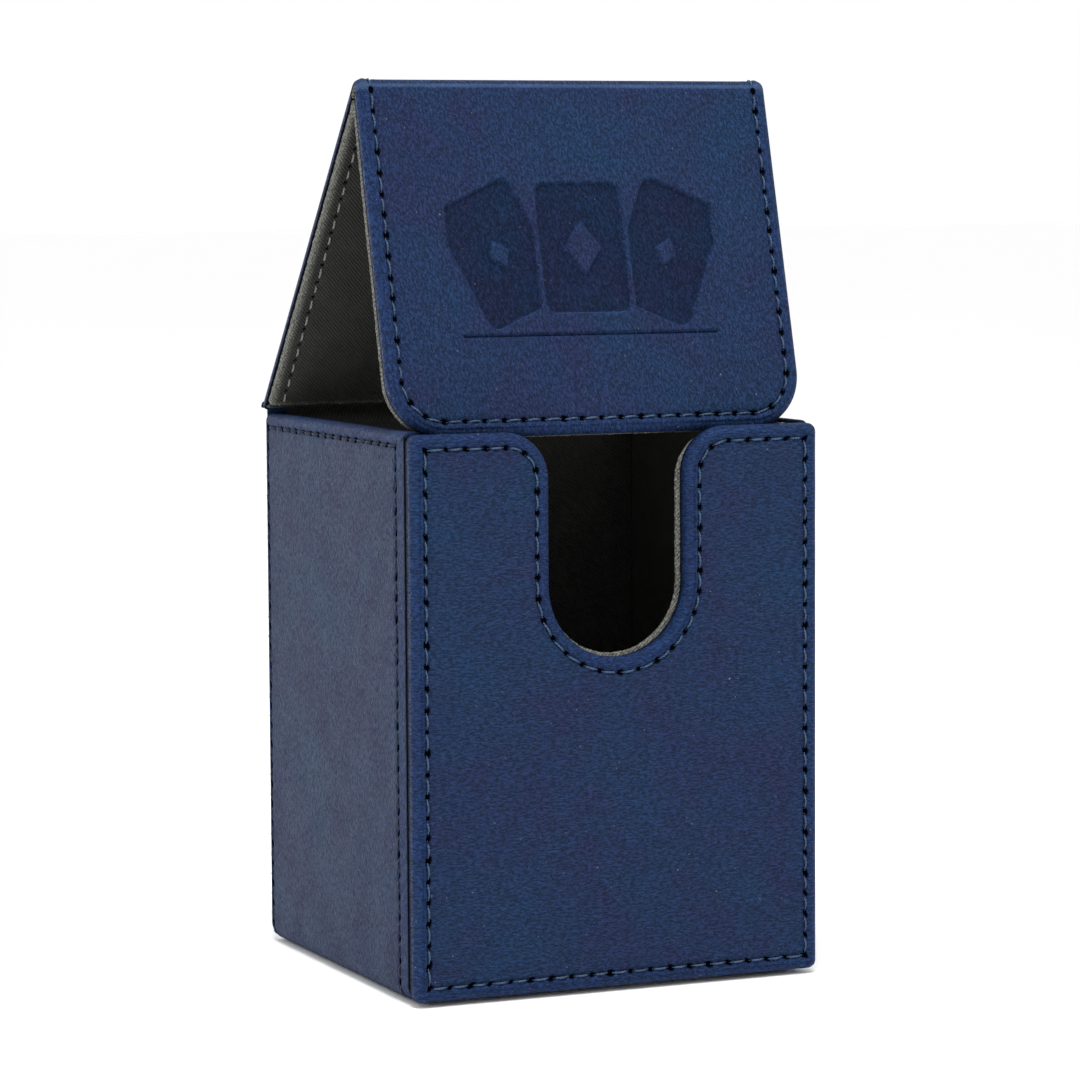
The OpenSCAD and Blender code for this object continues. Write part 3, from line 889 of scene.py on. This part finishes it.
class Nodes:
    """A short way to write a node tree."""

    def __init__(self, name):
        self.material = bpy.data.materials.new(name)
        self.material.use_nodes = True
        self.tree = self.material.node_tree
        self.shader = self.tree.nodes["Principled BSDF"]

    def put(self, socket, value):
        """Links another node's output to a socket, or sets the socket's own value."""
        if isinstance(value, bpy.types.NodeSocket):
            self.tree.links.new(value, socket)
        else:
            socket.default_value = value

    def add(self, kind, inputs=None, **settings):
        node = self.tree.nodes.new(kind)
        for key, value in settings.items():
            setattr(node, key, value)
        for key, value in (inputs or {}).items():
            self.put(node.inputs[key], value)
        return node

    def cloth(self, scale=(1, 1, 1), turn=0.0):
        place = self.add("ShaderNodeAttribute", attribute_name="cloth").outputs["Vector"]
        turned = self.add("ShaderNodeMapping", {"Vector": place, "Rotation": (0, 0, turn)}).outputs[0]
        return self.add("ShaderNodeMapping", {"Vector": turned, "Scale": scale}).outputs[0]

    def attribute(self, name):
        return self.add("ShaderNodeAttribute", attribute_name=name).outputs["Fac"]

    def noise(self, vector, scale, detail=3.0, rough=0.5, warp=0.0):
        return self.add("ShaderNodeTexNoise", {"Vector": vector, "Scale": scale, "Detail": detail,
                                               "Roughness": rough, "Distortion": warp}).outputs["Fac"]

    def math(self, kind, a, b=0.0, clamp=False):
        node = self.add("ShaderNodeMath", operation=kind, use_clamp=clamp)
        self.put(node.inputs[0], a)
        self.put(node.inputs[1], b)
        return node.outputs[0]

    def spread(self, value, low, high, to_low=0.0, to_high=1.0):
        return self.add("ShaderNodeMapRange", {"Value": value, "From Min": low, "From Max": high,
                                               "To Min": to_low, "To Max": to_high}).outputs[0]

    def mix(self, share, a, b, blend="MIX"):
        node = self.add("ShaderNodeMix", data_type="RGBA", blend_type=blend)
        for key, value in ((0, share), (6, a), (7, b)):
            self.put(node.inputs[key], value)
        return node.outputs[2]

    def set(self, **values):
        for key, value in values.items():
            self.put(self.shader.inputs[key.replace("_", " ")], value)

    def bump(self, height, distance, strength=1.0, after=None):
        inputs = {"Height": height, "Distance": distance, "Strength": strength}
        if after is not None:
            inputs["Normal"] = after
        return self.add("ShaderNodeBump", inputs).outputs[0]


def colour(r, g, b):
    """A linear colour from display values of 0 to 255."""
    def linear(c):
        c = c / 255
        return c / 12.92 if c <= 0.04045 else ((c + 0.055) / 1.055) ** 2.4
    return (linear(r), linear(g), linear(b), 1)


NAVY = colour(27, 48, 86)
VIOLET = colour(34, 44, 82)
TEAL = colour(20, 55, 90)
# A lighter blue for worn leather, also used as a painted highlight on the ridge and on the emblem's lower
# edges.
WEAR_AND_HIGHLIGHT_BLUE = colour(78, 100, 134)
RIM_BLUE = colour(27, 54, 101)
# Black for painted shade in needle holes and in the gaps between panels; the pressed emblem is also mixed a
# little towards it.
SHADE_AND_PRESS_BLACK = (0.0015, 0.002, 0.004, 1)


def leather_material(name, turn, stretch, scale):
    """Navy leather: cloudy colour, fine wavy wrinkles that run one way, bluer turned edges, a lighter
    colour where rim passes 1 for wear and painted highlights, and black where mark says, for painted
    shade in needle holes and gaps and for the darker pressed emblem.
    """
    m = Nodes(name)
    flat = m.cloth()
    slow = m.noise(flat, 120, 3, 0.55, 0.5)
    slower = m.noise(flat, 45, 2, 0.5)
    body = m.mix(m.spread(slow, 0.38, 0.62), NAVY, VIOLET)
    body = m.mix(m.spread(slower, 0.42, 0.66, 0, 0.65), body, TEAL)
    rim = m.math("MULTIPLY", m.spread(m.attribute("rim"), 0, 1), m.spread(slow, 0.3, 0.7, 0.3, 0.7))
    body = m.mix(rim, body, RIM_BLUE)
    folds = m.noise(m.cloth((1.0, stretch, 1.0), turn), scale, 3, 0.6, 0.8)
    ridges = m.spread(folds, 0.40, 0.60)
    pores = m.add("ShaderNodeTexVoronoi", {"Vector": m.cloth((1.0, 1.6, 1.0), turn), "Scale": 2600},
                  feature="F1").outputs["Distance"]
    deep = m.mix(0.82, body, (0.001, 0.004, 0.014, 1))
    body = m.mix(m.spread(ridges, 0.0, 0.8, 0.9, 0.0), body, deep)
    # Worn colour where rim passes 1: on the ridge it is partly a painted highlight, and on the emblem's lower
    # edges it is wholly one.
    wear_and_highlight = m.math("MULTIPLY", m.spread(m.attribute("rim"), 1.0, 2.0), m.spread(slow, 0.3, 0.7, 0.5, 1.0))
    body = m.mix(wear_and_highlight, body, WEAR_AND_HIGHLIGHT_BLUE)
    specks = m.spread(m.noise(flat, 1900, 0), 0.845, 0.86)
    dust = m.math("MULTIPLY", specks, m.spread(slow, 0.4, 0.55, 0, 0.5))
    body = m.mix(dust, body, colour(150, 146, 136))
    # Painted shade: black where mark says, in needle holes and in the gaps between panels; the pressed emblem
    # darkens by it too.
    body = m.mix(m.attribute("mark"), body, SHADE_AND_PRESS_BLACK)
    rough = m.math("ADD", m.spread(ridges, 0, 1, 0.66, 0.5), m.spread(slow, 0.3, 0.7, -0.04, 0.05))
    grain = m.math("ADD", m.math("MULTIPLY", ridges, 0.75), m.math("MULTIPLY", pores, 0.5))
    soft = m.bump(slow, 0.0006, 0.35, m.bump(grain, 0.0002, 0.9))
    gloss = m.spread(m.attribute("mark"), 0, 1, 0.13, 0)
    m.set(Base_Color=body, Roughness=rough, Normal=soft, Specular_IOR_Level=gloss)
    return m.material


def lining_material(name):
    """Grey brushed twill: fine diagonal ribs, a fuzzy nap, patches rubbed lighter, pale cut edges and painted
    shade in its needle holes.
    """
    m = Nodes(name)
    flat = m.cloth()
    ribs = m.add("ShaderNodeTexWave", {"Vector": m.cloth((1, 1, 1), math.radians(42)), "Scale": 620,
                                       "Distortion": 1.6, "Detail": 2, "Detail Scale": 3.0},
                 wave_type="BANDS", bands_direction="X", wave_profile="SIN").outputs["Fac"]
    nap = m.noise(flat, 4200, 2, 0.7)
    patch = m.noise(flat, 140, 3, 0.6)
    body = m.mix(m.spread(ribs, 0.1, 0.9), colour(36, 37, 37), colour(58, 58, 56))
    body = m.mix(m.spread(nap, 0.35, 0.7, 0, 0.5), body, colour(72, 71, 68))
    body = m.mix(m.spread(patch, 0.45, 0.7, 0, 0.35), body, colour(70, 69, 66))
    fuzz = m.noise(flat, 3000, 3, 0.7, 0.6)
    mark = m.attribute("mark")
    body = m.mix(m.math("MULTIPLY", mark, 1.0, clamp=True), body,
                 m.mix(m.math("MULTIPLY", m.spread(fuzz, 0.38, 0.62), m.spread(ribs, 0, 1, 0.55, 1)),
                       colour(58, 58, 56), colour(142, 142, 136)))
    # Painted shade: black in the needle holes.
    body = m.mix(m.math("MULTIPLY", mark, -1.0, clamp=True), body, SHADE_AND_PRESS_BLACK)
    height = m.math("ADD", m.math("MULTIPLY", ribs, 0.7), m.math("MULTIPLY", nap, 0.6))
    m.set(Base_Color=body, Roughness=m.spread(nap, 0.3, 0.7, 0.85, 0.97), Normal=m.bump(height, 0.0002, 0.7),
          Specular_IOR_Level=0.08)
    return m.material


def thread_material(name, light, dark):
    """Waxed two-ply thread with fine fibres along each ply."""
    m = Nodes(name)
    fibre = m.noise(m.cloth((6, 1, 1)), 2600, 3, 0.6)
    along = m.noise(m.cloth((1, 1, 1)), 420, 2, 0.5)
    body = m.mix(m.spread(fibre, 0.3, 0.7), dark, light)
    body = m.mix(m.spread(along, 0.45, 0.7, 0, 0.4), body, dark)
    m.set(Base_Color=body, Roughness=m.spread(fibre, 0.3, 0.7, 0.6, 0.42), Normal=m.bump(fibre, 0.00006, 0.6),
          Specular_IOR_Level=0.4)
    return m.material


def board_material(name):
    """Pressed grey board: pale pulp with darker fibres and flecks."""
    m = Nodes(name)
    place = m.add("ShaderNodeTexCoord").outputs["Object"]
    drawn = m.add("ShaderNodeMapping", {"Vector": place, "Scale": (1, 1, 5)}).outputs[0]
    fibre = m.noise(drawn, 900, 4, 0.6, 1.2)
    fleck = m.noise(place, 2400, 1, 0.5)
    body = m.mix(m.spread(fibre, 0.35, 0.65), colour(142, 136, 124), colour(176, 170, 156))
    body = m.mix(m.spread(fleck, 0.66, 0.72, 0, 0.7), body, colour(96, 90, 82))
    m.set(Base_Color=body, Roughness=m.spread(fibre, 0.3, 0.7, 0.8, 0.95), Normal=m.bump(fibre, 0.0001, 0.6))
    return m.material


def plating_material(name):
    """Nickel plating, bright with fine scuffs."""
    m = Nodes(name)
    place = m.add("ShaderNodeTexCoord").outputs["Object"]
    drawn = m.add("ShaderNodeMapping", {"Vector": place, "Scale": (8, 1, 1)}).outputs[0]
    scuff = m.noise(drawn, 1500, 3, 0.6)
    body = m.mix(m.spread(scuff, 0.3, 0.7), colour(176, 176, 180), colour(208, 208, 212))
    m.set(Base_Color=body, Metallic=1.0, Roughness=m.spread(scuff, 0.3, 0.7, 0.18, 0.38),
          Normal=m.bump(scuff, 0.00003, 0.3))
    return m.material


def floor_material():
    m = Nodes("floor")
    place = m.add("ShaderNodeTexCoord").outputs["Object"]
    cloud = m.noise(place, 2.5, 3, 0.5)
    m.set(Base_Color=m.mix(cloud, colour(253, 253, 253), colour(254, 254, 254)), Roughness=0.8,
          Specular_IOR_Level=0.1)
    return m.material


LEATHER = leather_material("leather_front", 0.0, 3.0, 1150)
LEATHER_FLAP = leather_material("leather_flap", math.radians(80), 1.9, 1450)
LINING_CLOTH = lining_material("lining_twill")
THREAD = thread_material("thread_blue", colour(76, 106, 140), colour(10, 18, 34))
THREAD_DARK = thread_material("thread_dark", colour(36, 50, 76), colour(10, 15, 27))
THREAD_GREY = thread_material("thread_grey", colour(160, 160, 156), colour(104, 105, 104))
BOARD = board_material("greyboard")
PLATING = plating_material("magnet_plating")


# ---- The object ----

def finish_piece(obj, slot, body, *nodes):
    if body:
        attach(obj, body)
    if nodes:
        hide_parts(*nodes)
    return obj


def rectangle(w, y0, y1, r):
    return [(-w / 2, y0, r), (w / 2, y0, r), (w / 2, y1, r), (-w / 2, y1, r)]


def front_corners(w, low, high, corner, inset=0.0):
    notch = NOTCH_R + inset
    foot = NOTCH_Z - NOTCH_R - inset
    ear = EAR_R - inset
    return [(-w / 2, low, corner), (w / 2, low, corner), (w / 2, high, corner), (notch, high, ear),
            (notch, foot, notch), (-notch, foot, notch), (-notch, high, ear), (-w / 2, high, corner)]


def make_front():
    outline = Outline(front_corners(BOX_W, BASE_PROUD, FRONT_TOP, CORNER_R), MARGIN, seed=11)
    cover = leather_panel("front_leather", outline, on_front, LEATHER, SHELL, FRONT_EDGE_R, 0.6, 11)
    finish_piece(cover, "leather", "box", "front_cover")
    finish_piece(stitching("front_thread", outline, on_front), "thread", "box", "front_stitching")
    width = FRONT_LINING_HI[0] - FRONT_LINING_LO[0]
    corners = front_corners(width, FRONT_LINING_LO[2], LINING_TOP, 0.4, -NOTCH_LINING - NOTCH_GAP)
    plain = Outline(corners, 1.0, seed=12)
    finish_piece(slab("front_fabric", plain, on_front, -SHELL, -WALL, 13), "lining", "box", "front_lining")


def make_sleeve():
    corners = [(0, -SLEEVE_LEN / 2, 1.0), (SLEEVE_RUN, -SLEEVE_LEN / 2, 1.0),
               (SLEEVE_RUN, SLEEVE_LEN / 2, 1.0), (0, SLEEVE_LEN / 2, 1.0)]
    outline = Outline(corners, [SIDE_REAR_MARGIN, MARGIN, SIDE_MARGIN, MARGIN], seed=21)
    finish_piece(sleeve_leather("sleeve_leather", outline), "leather", "box", "sleeve_cover")
    thread = stitching("sleeve_thread", outline, on_sleeve, material=THREAD_DARK)
    finish_piece(thread, "thread", "box", "left_stitching", "right_stitching", "bottom_stitching")


def sleeve_leather(name, outline):
    """The sleeve's leather. Its seam stands at another distance from each of its four edges, and its edges
    against the front and rear panels are painted dark as shade in the gaps.
    """
    side_r, drop_r = np.array([0.5, 1.4, 1.4, 1.4]), np.array([0.5, 1.4, 0.4, 1.4])
    back_r = 0.6
    rings = Rings(outline.count)
    for inset, z in rim_profile(0, back_r, SHELL)[:7]:
        # Painted shade: the back of the leather and its rounded back edge are mixed 0.9 towards black.
        rings.add(outline.ring(inset), z, 0.9, 1.0)
    front, ends = outline.side_values([0, 0, 1, 0]), outline.side_values([1, 0, 1, 0])
    for turn in np.radians(np.linspace(0, 90, 10)):
        inset = side_r * (1 - math.cos(turn))
        drop = outline.side_values(drop_r) * (1 - math.sin(turn))
        drop = drop + FRONT_DIP * front * (1 - outline.side_values(inset) / SIDE_MARGIN)
        # Painted shade: a black line along the front and rear edges, down in the gap to the front and rear
        # panels.
        rings.add(outline.ring(inset), -drop, 0.97 * smooth((1.3 - turn) / 0.2) * ends, 1.0)

    def height_at(relief, used, flat):
        dip = FRONT_DIP * front * np.maximum(1 - used / SIDE_MARGIN, 0)
        return relief - dip + smooth(used - 1) * sleeve_ripple(flat[:, 0], flat[:, 1])
    add_seam(rings, outline, side_r + 0.03, height_at)
    points, faces = lofted(outline.count, rings.points, True)
    points, faces = close_sleeve(points, faces, rings.points[-1][:, :2], rings.points[0][:, :2])
    mark, rim = filled(rings.marks, len(points)), filled(rings.rims, len(points))
    return add_mesh(name, points, faces, on_sleeve, LEATHER, mark=mark, rim=rim)


def close_sleeve(points, faces, outer, inner):
    """Fills the sleeve's outer and inner loop. Rows of points lie along its two bends."""
    bends = [SIDE_RUN + BEND_RUN * k / 6 for k in range(7)]
    bends += [SLEEVE_RUN - b for b in bends]
    across = np.arange(outer[:, 1].min() + 1, outer[:, 1].max() - 0.9, 1.6)
    rows = np.stack(np.meshgrid(bends, across), axis=-1).reshape(-1, 2)
    inside = inner_points(outer, 2.4, 21, 0.9)
    clear = np.min(abs(inside[:, :1] - np.array(bends)[None]), axis=1) > 0.9
    points, faces = cap(points, faces, len(points) - len(outer), outer,
                        np.concatenate([inside[clear], rows]), height=sleeve_ripple)
    clear = (rows[:, 1] > inner[:, 1].min() + 0.5) & (rows[:, 1] < inner[:, 1].max() - 0.5)
    return cap(points, faces, 0, inner, rows[clear], height=lambda x, y: np.full(len(x), -SKIN), flip=True)


def sleeve_ripple(x, y):
    return 0.04 * wander(x, y, 10, 21)


def plain_lining(side, width, low, high, place, seed, pale_over):
    """A lining of the box without stitches, between two heights of its panel."""
    outline = Outline(rectangle(width, low, high, 0.3), 1.0, seed=seed)
    piece = slab(f"{side}_fabric", outline, place, -SHELL, -WALL, seed + 1, pale_over=pale_over)
    finish_piece(piece, "lining", "box", f"{side}_lining")


def make_linings():
    """The fabric on the side walls, the bottom and the rear panel."""
    for way, side in ((-1, "left"), (1, "right")):
        low, high = box_mm(f"{side}_lining")
        place = stand((0, way, 0), (0, 0, 1), (way, 0, 0), (way * BOX_W / 2, (low[1] + high[1]) / 2, 0))
        plain_lining(side, high[1] - low[1], low[2], high[2], place, 31, high[2] - 0.5)
    low, high = box_mm("bottom_lining")
    place = stand((1, 0, 0), (0, 1, 0), (0, 0, -1), (0, 0, 0))
    plain_lining("bottom", high[0] - low[0], low[1], high[1], place, 33, BOX_D)
    low, high = box_mm("rear_lining")
    plain_lining("rear", high[0] - low[0], low[2], HINGE[1] - REAR_CLEAR, on_rear, 35, BOX_H)


def from_top(w, top, top_r, low, low_r):
    """Corners of a panel from its top left, down and round to its top right."""
    return [(-w / 2, top, top_r), (-w / 2, low, low_r), (w / 2, low, low_r), (w / 2, top, top_r)]


def make_rear():
    corners = from_top(REAR_W, REAR_TOP, 0, BASE_PROUD, CORNER_R)
    outline = Outline(corners, MARGIN, closed=False, starts=(0.5, 0.5), seed=41)
    cover = leather_panel("rear_leather", outline, on_rear, LEATHER_FLAP, SKIN, 0.45, 0.15, 41, lay=hide_rear)
    finish_piece(cover, "leather", "box", "rear_cover")
    finish_piece(stitching("rear_thread", outline, on_rear), "thread", "box", "rear_stitching")


def make_flap():
    corners = from_top(LID_W, -RIDGE_SKIN, 0, -FLAP_LEN, FLAP_CORNER)
    gap = RIDGE_HOLES[1] - RIDGE_SKIN
    outline = Outline(corners, MARGIN, closed=False, starts=(gap, gap), seed=51)
    emblem = emblem_grid(-FLAP_LEN / 2 - CARD_H / 2 + 2, 0.24)
    cover = leather_panel("flap_leather", outline, on_flap, LEATHER_FLAP, LID_SHELL - LIP, LID_EDGE_R, 0.45,
                          51, emblem)
    finish_piece(cover, "leather", "flap", "flap_cover")
    finish_piece(stitching("flap_thread", outline, on_flap), "thread", "flap", "flap_stitching")
    finish_piece(stitching("flap_thread_under", outline, on_flap, under=LID_WALL), "thread", "flap")
    corners = from_top(LID_W - 2 * LINING_INSET, -RIDGE_CLEAR, 0.4, -FLAP_LEN + LINING_INSET,
                       FLAP_CORNER - LINING_INSET)
    plain = Outline(corners, 1.0, seed=52, fine=20)
    piece = slab("flap_fabric", plain, on_flap, -LID_SHELL, -LID_WALL, 53, MARGIN - LINING_INSET,
                 needle_holes(outline), LIP, pale_over=-FLAP_LEN - 1)
    finish_piece(piece, "lining", "flap", "flap_lining")


def make_lid():
    low, high = HINGE_SKIN, LID_LEN - RIDGE_SKIN
    outline = Outline([(-LID_W / 2, high, 0), (-LID_W / 2, low, 0)], MARGIN, closed=False,
                      starts=(RIDGE_HOLES[1] - RIDGE_SKIN, REAR_CLEAR - HINGE_SKIN), seed=61)
    finish_piece(lid_leather("lid_leather", outline), "leather", "lid", "lid_cover")
    finish_piece(stitching("lid_thread", outline, on_lid, mirror=True), "thread", "lid", "lid_stitching")
    under = stitching("lid_thread_under", outline, on_lid, under=LID_WALL, mirror=True)
    finish_piece(under, "thread", "lid")
    plain = Outline(rectangle(LID_W - 2 * LINING_INSET, REAR_CLEAR, LID_LEN - RIDGE_CLEAR, 0.4), 1.0,
                    seed=64, fine=20)
    holes = needle_holes(outline)
    holes = np.concatenate([holes, holes * np.array([-1, 1])])
    piece = slab("lid_fabric", plain, on_lid, -LID_SHELL, -LID_WALL, 65, MARGIN - LINING_INSET, holes, LIP)
    finish_piece(piece, "lining", "lid", "lid_lining")


def lid_leather(name, outline):
    """The lid's leather: both long edges are finished, and both ends run on into the folds."""
    rings = Rings(outline.count)
    for inset, z in rim_profile(LID_EDGE_R, 0.45, LID_SHELL - LIP):
        rings.add(outline.ring(inset), z, gap_shade(z, LID_SHELL - LIP), 1.0)
    for order, off in enumerate(SEAM_RINGS):
        inset = max(MARGIN + off, LID_EDGE_R + 0.03 + 0.01 * order)
        relief, mark = seam_relief(outline.near, inset - MARGIN, outline.hole_size)
        rings.add(outline.ring(inset), relief + margin_rise(inset), mark, smooth(-off / 0.6))
    edge = rings.points[-1]
    for x in np.linspace(edge[0, 0], 0, 14)[1:]:
        rings.add(np.column_stack([np.full(outline.count, x), edge[:, 1]]), 0.0, 0.0, 0.0)
    rings.mirror()
    y = rings.points[0][:, 1]
    calm = smooth((y - y.min()) / 4) * smooth((y.max() - y) / 4)
    for ring in rings.points:
        over = smooth((ring[:, 2] + LID_EDGE_R) / LID_EDGE_R)
        ring[:, 2] += 0.05 * calm * over * wander(ring[:, 0], y, 10, 61)
    points, faces = lofted(outline.count, rings.points, False)
    last = len(points) - outline.count
    faces += [[last + i, last + i + 1, i + 1, i] for i in range(outline.count - 1)]
    return add_mesh(name, points, faces, on_lid, LEATHER_FLAP, hide_lid(points),
                    np.concatenate(rings.marks), np.concatenate(rings.rims))


TO_HINGE, TO_FOOT = np.array([COS_A, -SIN_A]), np.array([-SIN_L, -COS_L])
DOWN, REAR_N = np.array([0.0, -1.0]), np.array([1.0, 0.0])
RIDGE_FOLD = Fold(RIDGE, (TO_HINGE, LID_N[1:]), (TO_FOOT, FLAP_N[1:]), RIDGE_R)
HINGE_FOLD = Fold(HINGE, (DOWN, REAR_N), (-TO_HINGE, LID_N[1:]), HINGE_R)
EDGE_INSETS = [0, 0.04, 0.12, 0.25, 0.42, 0.66, 0.7, 0.85, 1.02, 1.2]
HINGE_EDGE_INSETS = [0, 0.12, 0.42, 0.7, 1.02, 1.2]
SEAM_INSETS = [MARGIN + off for off in SEAM_RINGS if off > -1.1]
NO_HOLE = 9.0                     # further from a needle hole than its mark reaches


def hide(x_way, start):
    """Where a piece's flat points lie in the one hide of rear panel, lid, folds and flap."""
    return lambda p: p * np.array([x_way, -1, 1]) + np.array([0, start, 0])


hide_ridge = hide(1, RIDGE_FOLD.bend)
hide_lid = hide(-1, RIDGE_FOLD.bend + LID_LEN)
hide_hinge = hide(1, RIDGE_FOLD.bend + LID_LEN + HINGE_FOLD.bend)
hide_rear = hide(-1, RIDGE_FOLD.bend + LID_LEN + HINGE_FOLD.bend + HINGE[1])


def ridge_skin(inset, s):
    """The leather over the ridge: its edges are turned over, and the seams run on over it."""
    curl = LID_EDGE_R - math.sqrt(LID_EDGE_R ** 2 - max(LID_EDGE_R - inset, 0) ** 2)
    near = np.min([abs(s + RIDGE_HOLES[0]), abs(s - RIDGE_FOLD.bend - RIDGE_HOLES[0])], axis=0)
    relief, mark = seam_relief(near, inset - MARGIN, 1.0)
    top = 0.6 * relief + margin_rise(inset) * smooth((inset - 0.9) / 0.3) - curl
    low = np.full(len(s), -SKIN if inset > 0.68 else -SKIN - 0.35 * (1 - inset / 0.68))
    return np.maximum(top, low + 0.05), low, mark


def ridge_cloth(inset, s):
    """The lining under the ridge, which dips from the fold to the linings of lid and flap."""
    share = smooth((RIDGE_FOLD.past(s) - 0.3) / (RIDGE_CLEAR - 0.3))
    low = SKIN + LINING + (LID_SHELL - SKIN) * share
    up = low - LINING - (LIP * share if inset < 0.5 else 0)
    thin = 0.2 * (1 - smooth(inset / 0.25))
    return -up - thin, -low + thin, np.full(len(s), 1.0 * (inset < 0.3))


def hinge_skin(inset, s):
    """The thin leather over the hinge, whose seams have no holes of their own."""
    relief, mark = seam_relief(np.full(len(s), NO_HOLE), inset - MARGIN, 1.0)
    return 0.5 * relief - 0.3 * (1 - smooth(inset / 0.5)), np.full(len(s), -0.55), mark


def hinge_cloth(inset, s):
    """The lining under the hinge, which dips to the linings of rear panel and lid."""
    wall = SHELL + (LID_SHELL - SHELL) * np.clip(s / HINGE_FOLD.bend, 0, 1)
    deep = smooth((HINGE_FOLD.past(s) - 0.15) / (REAR_CLEAR - 0.15))
    return -0.56 - (wall - 0.56) * deep, -0.74 - (wall + LINING - 0.74) * deep, np.zeros(len(s))


def make_ridge():
    s = RIDGE_FOLD.marks(RIDGE_SKIN, RIDGE_SKIN)
    # Along the ridge's crease a band of worn colour also stands in for a painted highlight.
    fold = band("ridge_leather", RIDGE_FOLD, s, (LID_W, LID_W), EDGE_INSETS + SEAM_INSETS, ridge_skin,
                LEATHER_FLAP, hide_ridge, lambda s: bell(s - RIDGE_FOLD.bend * 0.9, 0.75))
    finish_piece(fold, "leather", None, "ridge_fold")
    first, last = RIDGE_HOLES
    holes = [-last, -first, RIDGE_FOLD.bend + first, RIDGE_FOLD.bend + last]
    thread = fold_thread("ridge_thread", RIDGE_FOLD, list(zip(holes, holes[1:])),
                         lambda s: np.full(len(s), LID_W / 2 - MARGIN))
    finish_piece(thread, "thread", None)
    for piece in (fold, thread):
        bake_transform(piece)
    s = RIDGE_FOLD.marks(RIDGE_CLEAR, RIDGE_CLEAR, 0.25)
    width = LID_W - 2 * LINING_INSET
    inner = band("ridge_fabric", RIDGE_FOLD, s, (width, width), [0, 0.12, 0.28, 0.8], ridge_cloth,
                 LINING_CLOTH, lambda p: p)
    finish_piece(inner, "lining", None)
    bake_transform(inner)


def make_hinge():
    s = HINGE_FOLD.marks(HINGE[1] - REAR_TOP, HINGE_SKIN)
    fold = band("hinge_leather", HINGE_FOLD, s, (REAR_W, LID_W), HINGE_EDGE_INSETS + SEAM_INSETS, hinge_skin,
                LEATHER_FLAP, hide_hinge)
    finish_piece(fold, "leather", None, "rear_fold")
    spans = [(REAR_TOP - HINGE[1] - 0.5, HINGE_FOLD.bend + REAR_CLEAR)]
    half = (REAR_W / 2 - MARGIN, LID_W / 2 - MARGIN)
    thread = fold_thread("hinge_thread", HINGE_FOLD, spans,
                         lambda s: half[0] + (half[1] - half[0]) * np.clip(s / HINGE_FOLD.bend, 0, 1))
    finish_piece(thread, "thread", None)
    for piece in (fold, thread):
        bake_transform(piece)
    s = HINGE_FOLD.marks(REAR_CLEAR, REAR_CLEAR, 0.25)
    width = box_mm("rear_lining")[1][0] * 2
    inner = band("hinge_fabric", HINGE_FOLD, s, (width, LID_W - 2 * LINING_INSET), [0, 0.1, 0.8], hinge_cloth,
                 LINING_CLOTH, lambda p: p)
    finish_piece(inner, "lining", None)
    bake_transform(inner)


def paint_frame():
    """The CAD nodes that stay: the boards and the magnets."""
    for name, node in frame["nodes"].items():
        material = BOARD if name.endswith("_board") else PLATING if name.endswith("_magnets") else None
        if material:
            for slot in node.material_slots:
                slot.material = material


# ---- Studio ----

CAMERA_AT = (-0.28907, -0.66356, 0.13751)
CAMERA_YAW, CAMERA_PITCH, CAMERA_ROLL = math.radians(23.609), math.radians(4.937), math.radians(-0.346)
LENS, SENSOR = 135.91, 36.0


def make_camera():
    data = bpy.data.cameras.new("camera")
    camera = new_object("camera", data)
    ahead = Vector((math.sin(CAMERA_YAW) * math.cos(CAMERA_PITCH),
                    math.cos(CAMERA_YAW) * math.cos(CAMERA_PITCH), -math.sin(CAMERA_PITCH)))
    right = Vector((math.cos(CAMERA_YAW), -math.sin(CAMERA_YAW), 0))
    up = right.cross(ahead)
    right2 = math.cos(CAMERA_ROLL) * right + math.sin(CAMERA_ROLL) * up
    up2 = -math.sin(CAMERA_ROLL) * right + math.cos(CAMERA_ROLL) * up
    turn = Matrix((right2, up2, -ahead)).transposed().to_4x4()
    camera.matrix_world = Matrix.Translation(CAMERA_AT) @ turn
    data.lens = LENS
    data.sensor_width = SENSOR
    data.clip_start = 0.01
    data.clip_end = 20
    bpy.context.scene.camera = camera


def area_light(name, at, aim, size, power, tint=(1, 1, 1)):
    data = bpy.data.lights.new(name, "AREA")
    data.shape = "RECTANGLE"
    data.size, data.size_y = size
    data.energy = power
    data.color = tint
    light = new_object(name, data)
    light.location = at
    light.rotation_euler = (Vector(aim) - Vector(at)).to_track_quat("-Z", "Y").to_euler()


def make_studio():
    mesh = bpy.data.meshes.new("floor")
    size = 12.0
    corners = [(-size, -size, 0), (size, -size, 0), (size, size, 0), (-size, size, 0)]
    mesh.from_pydata(corners, [], [(0, 1, 2, 3)])
    mesh.materials.append(floor_material())
    floor = new_object("floor", mesh)
    world = bpy.data.worlds.new("studio")
    world.use_nodes = True
    world.node_tree.nodes["Background"].inputs["Color"].default_value = (1, 1, 1, 1)
    world.node_tree.nodes["Background"].inputs["Strength"].default_value = 1.0
    bpy.context.scene.world = world
    area_light("top", (-0.12, -0.36, 0.98), (0, 0, 0.1), (0.35, 0.3), 7.5)
    area_light("back", (-0.6, 1.2, 0.3), (0, 0, 0.06), (0.6, 0.5), 4)
    bpy.context.scene.view_settings.view_transform = "Standard"


make_camera()
make_front()
make_sleeve()
make_linings()
make_rear()
make_flap()
make_lid()
make_ridge()
make_hinge()
paint_frame()
make_studio()
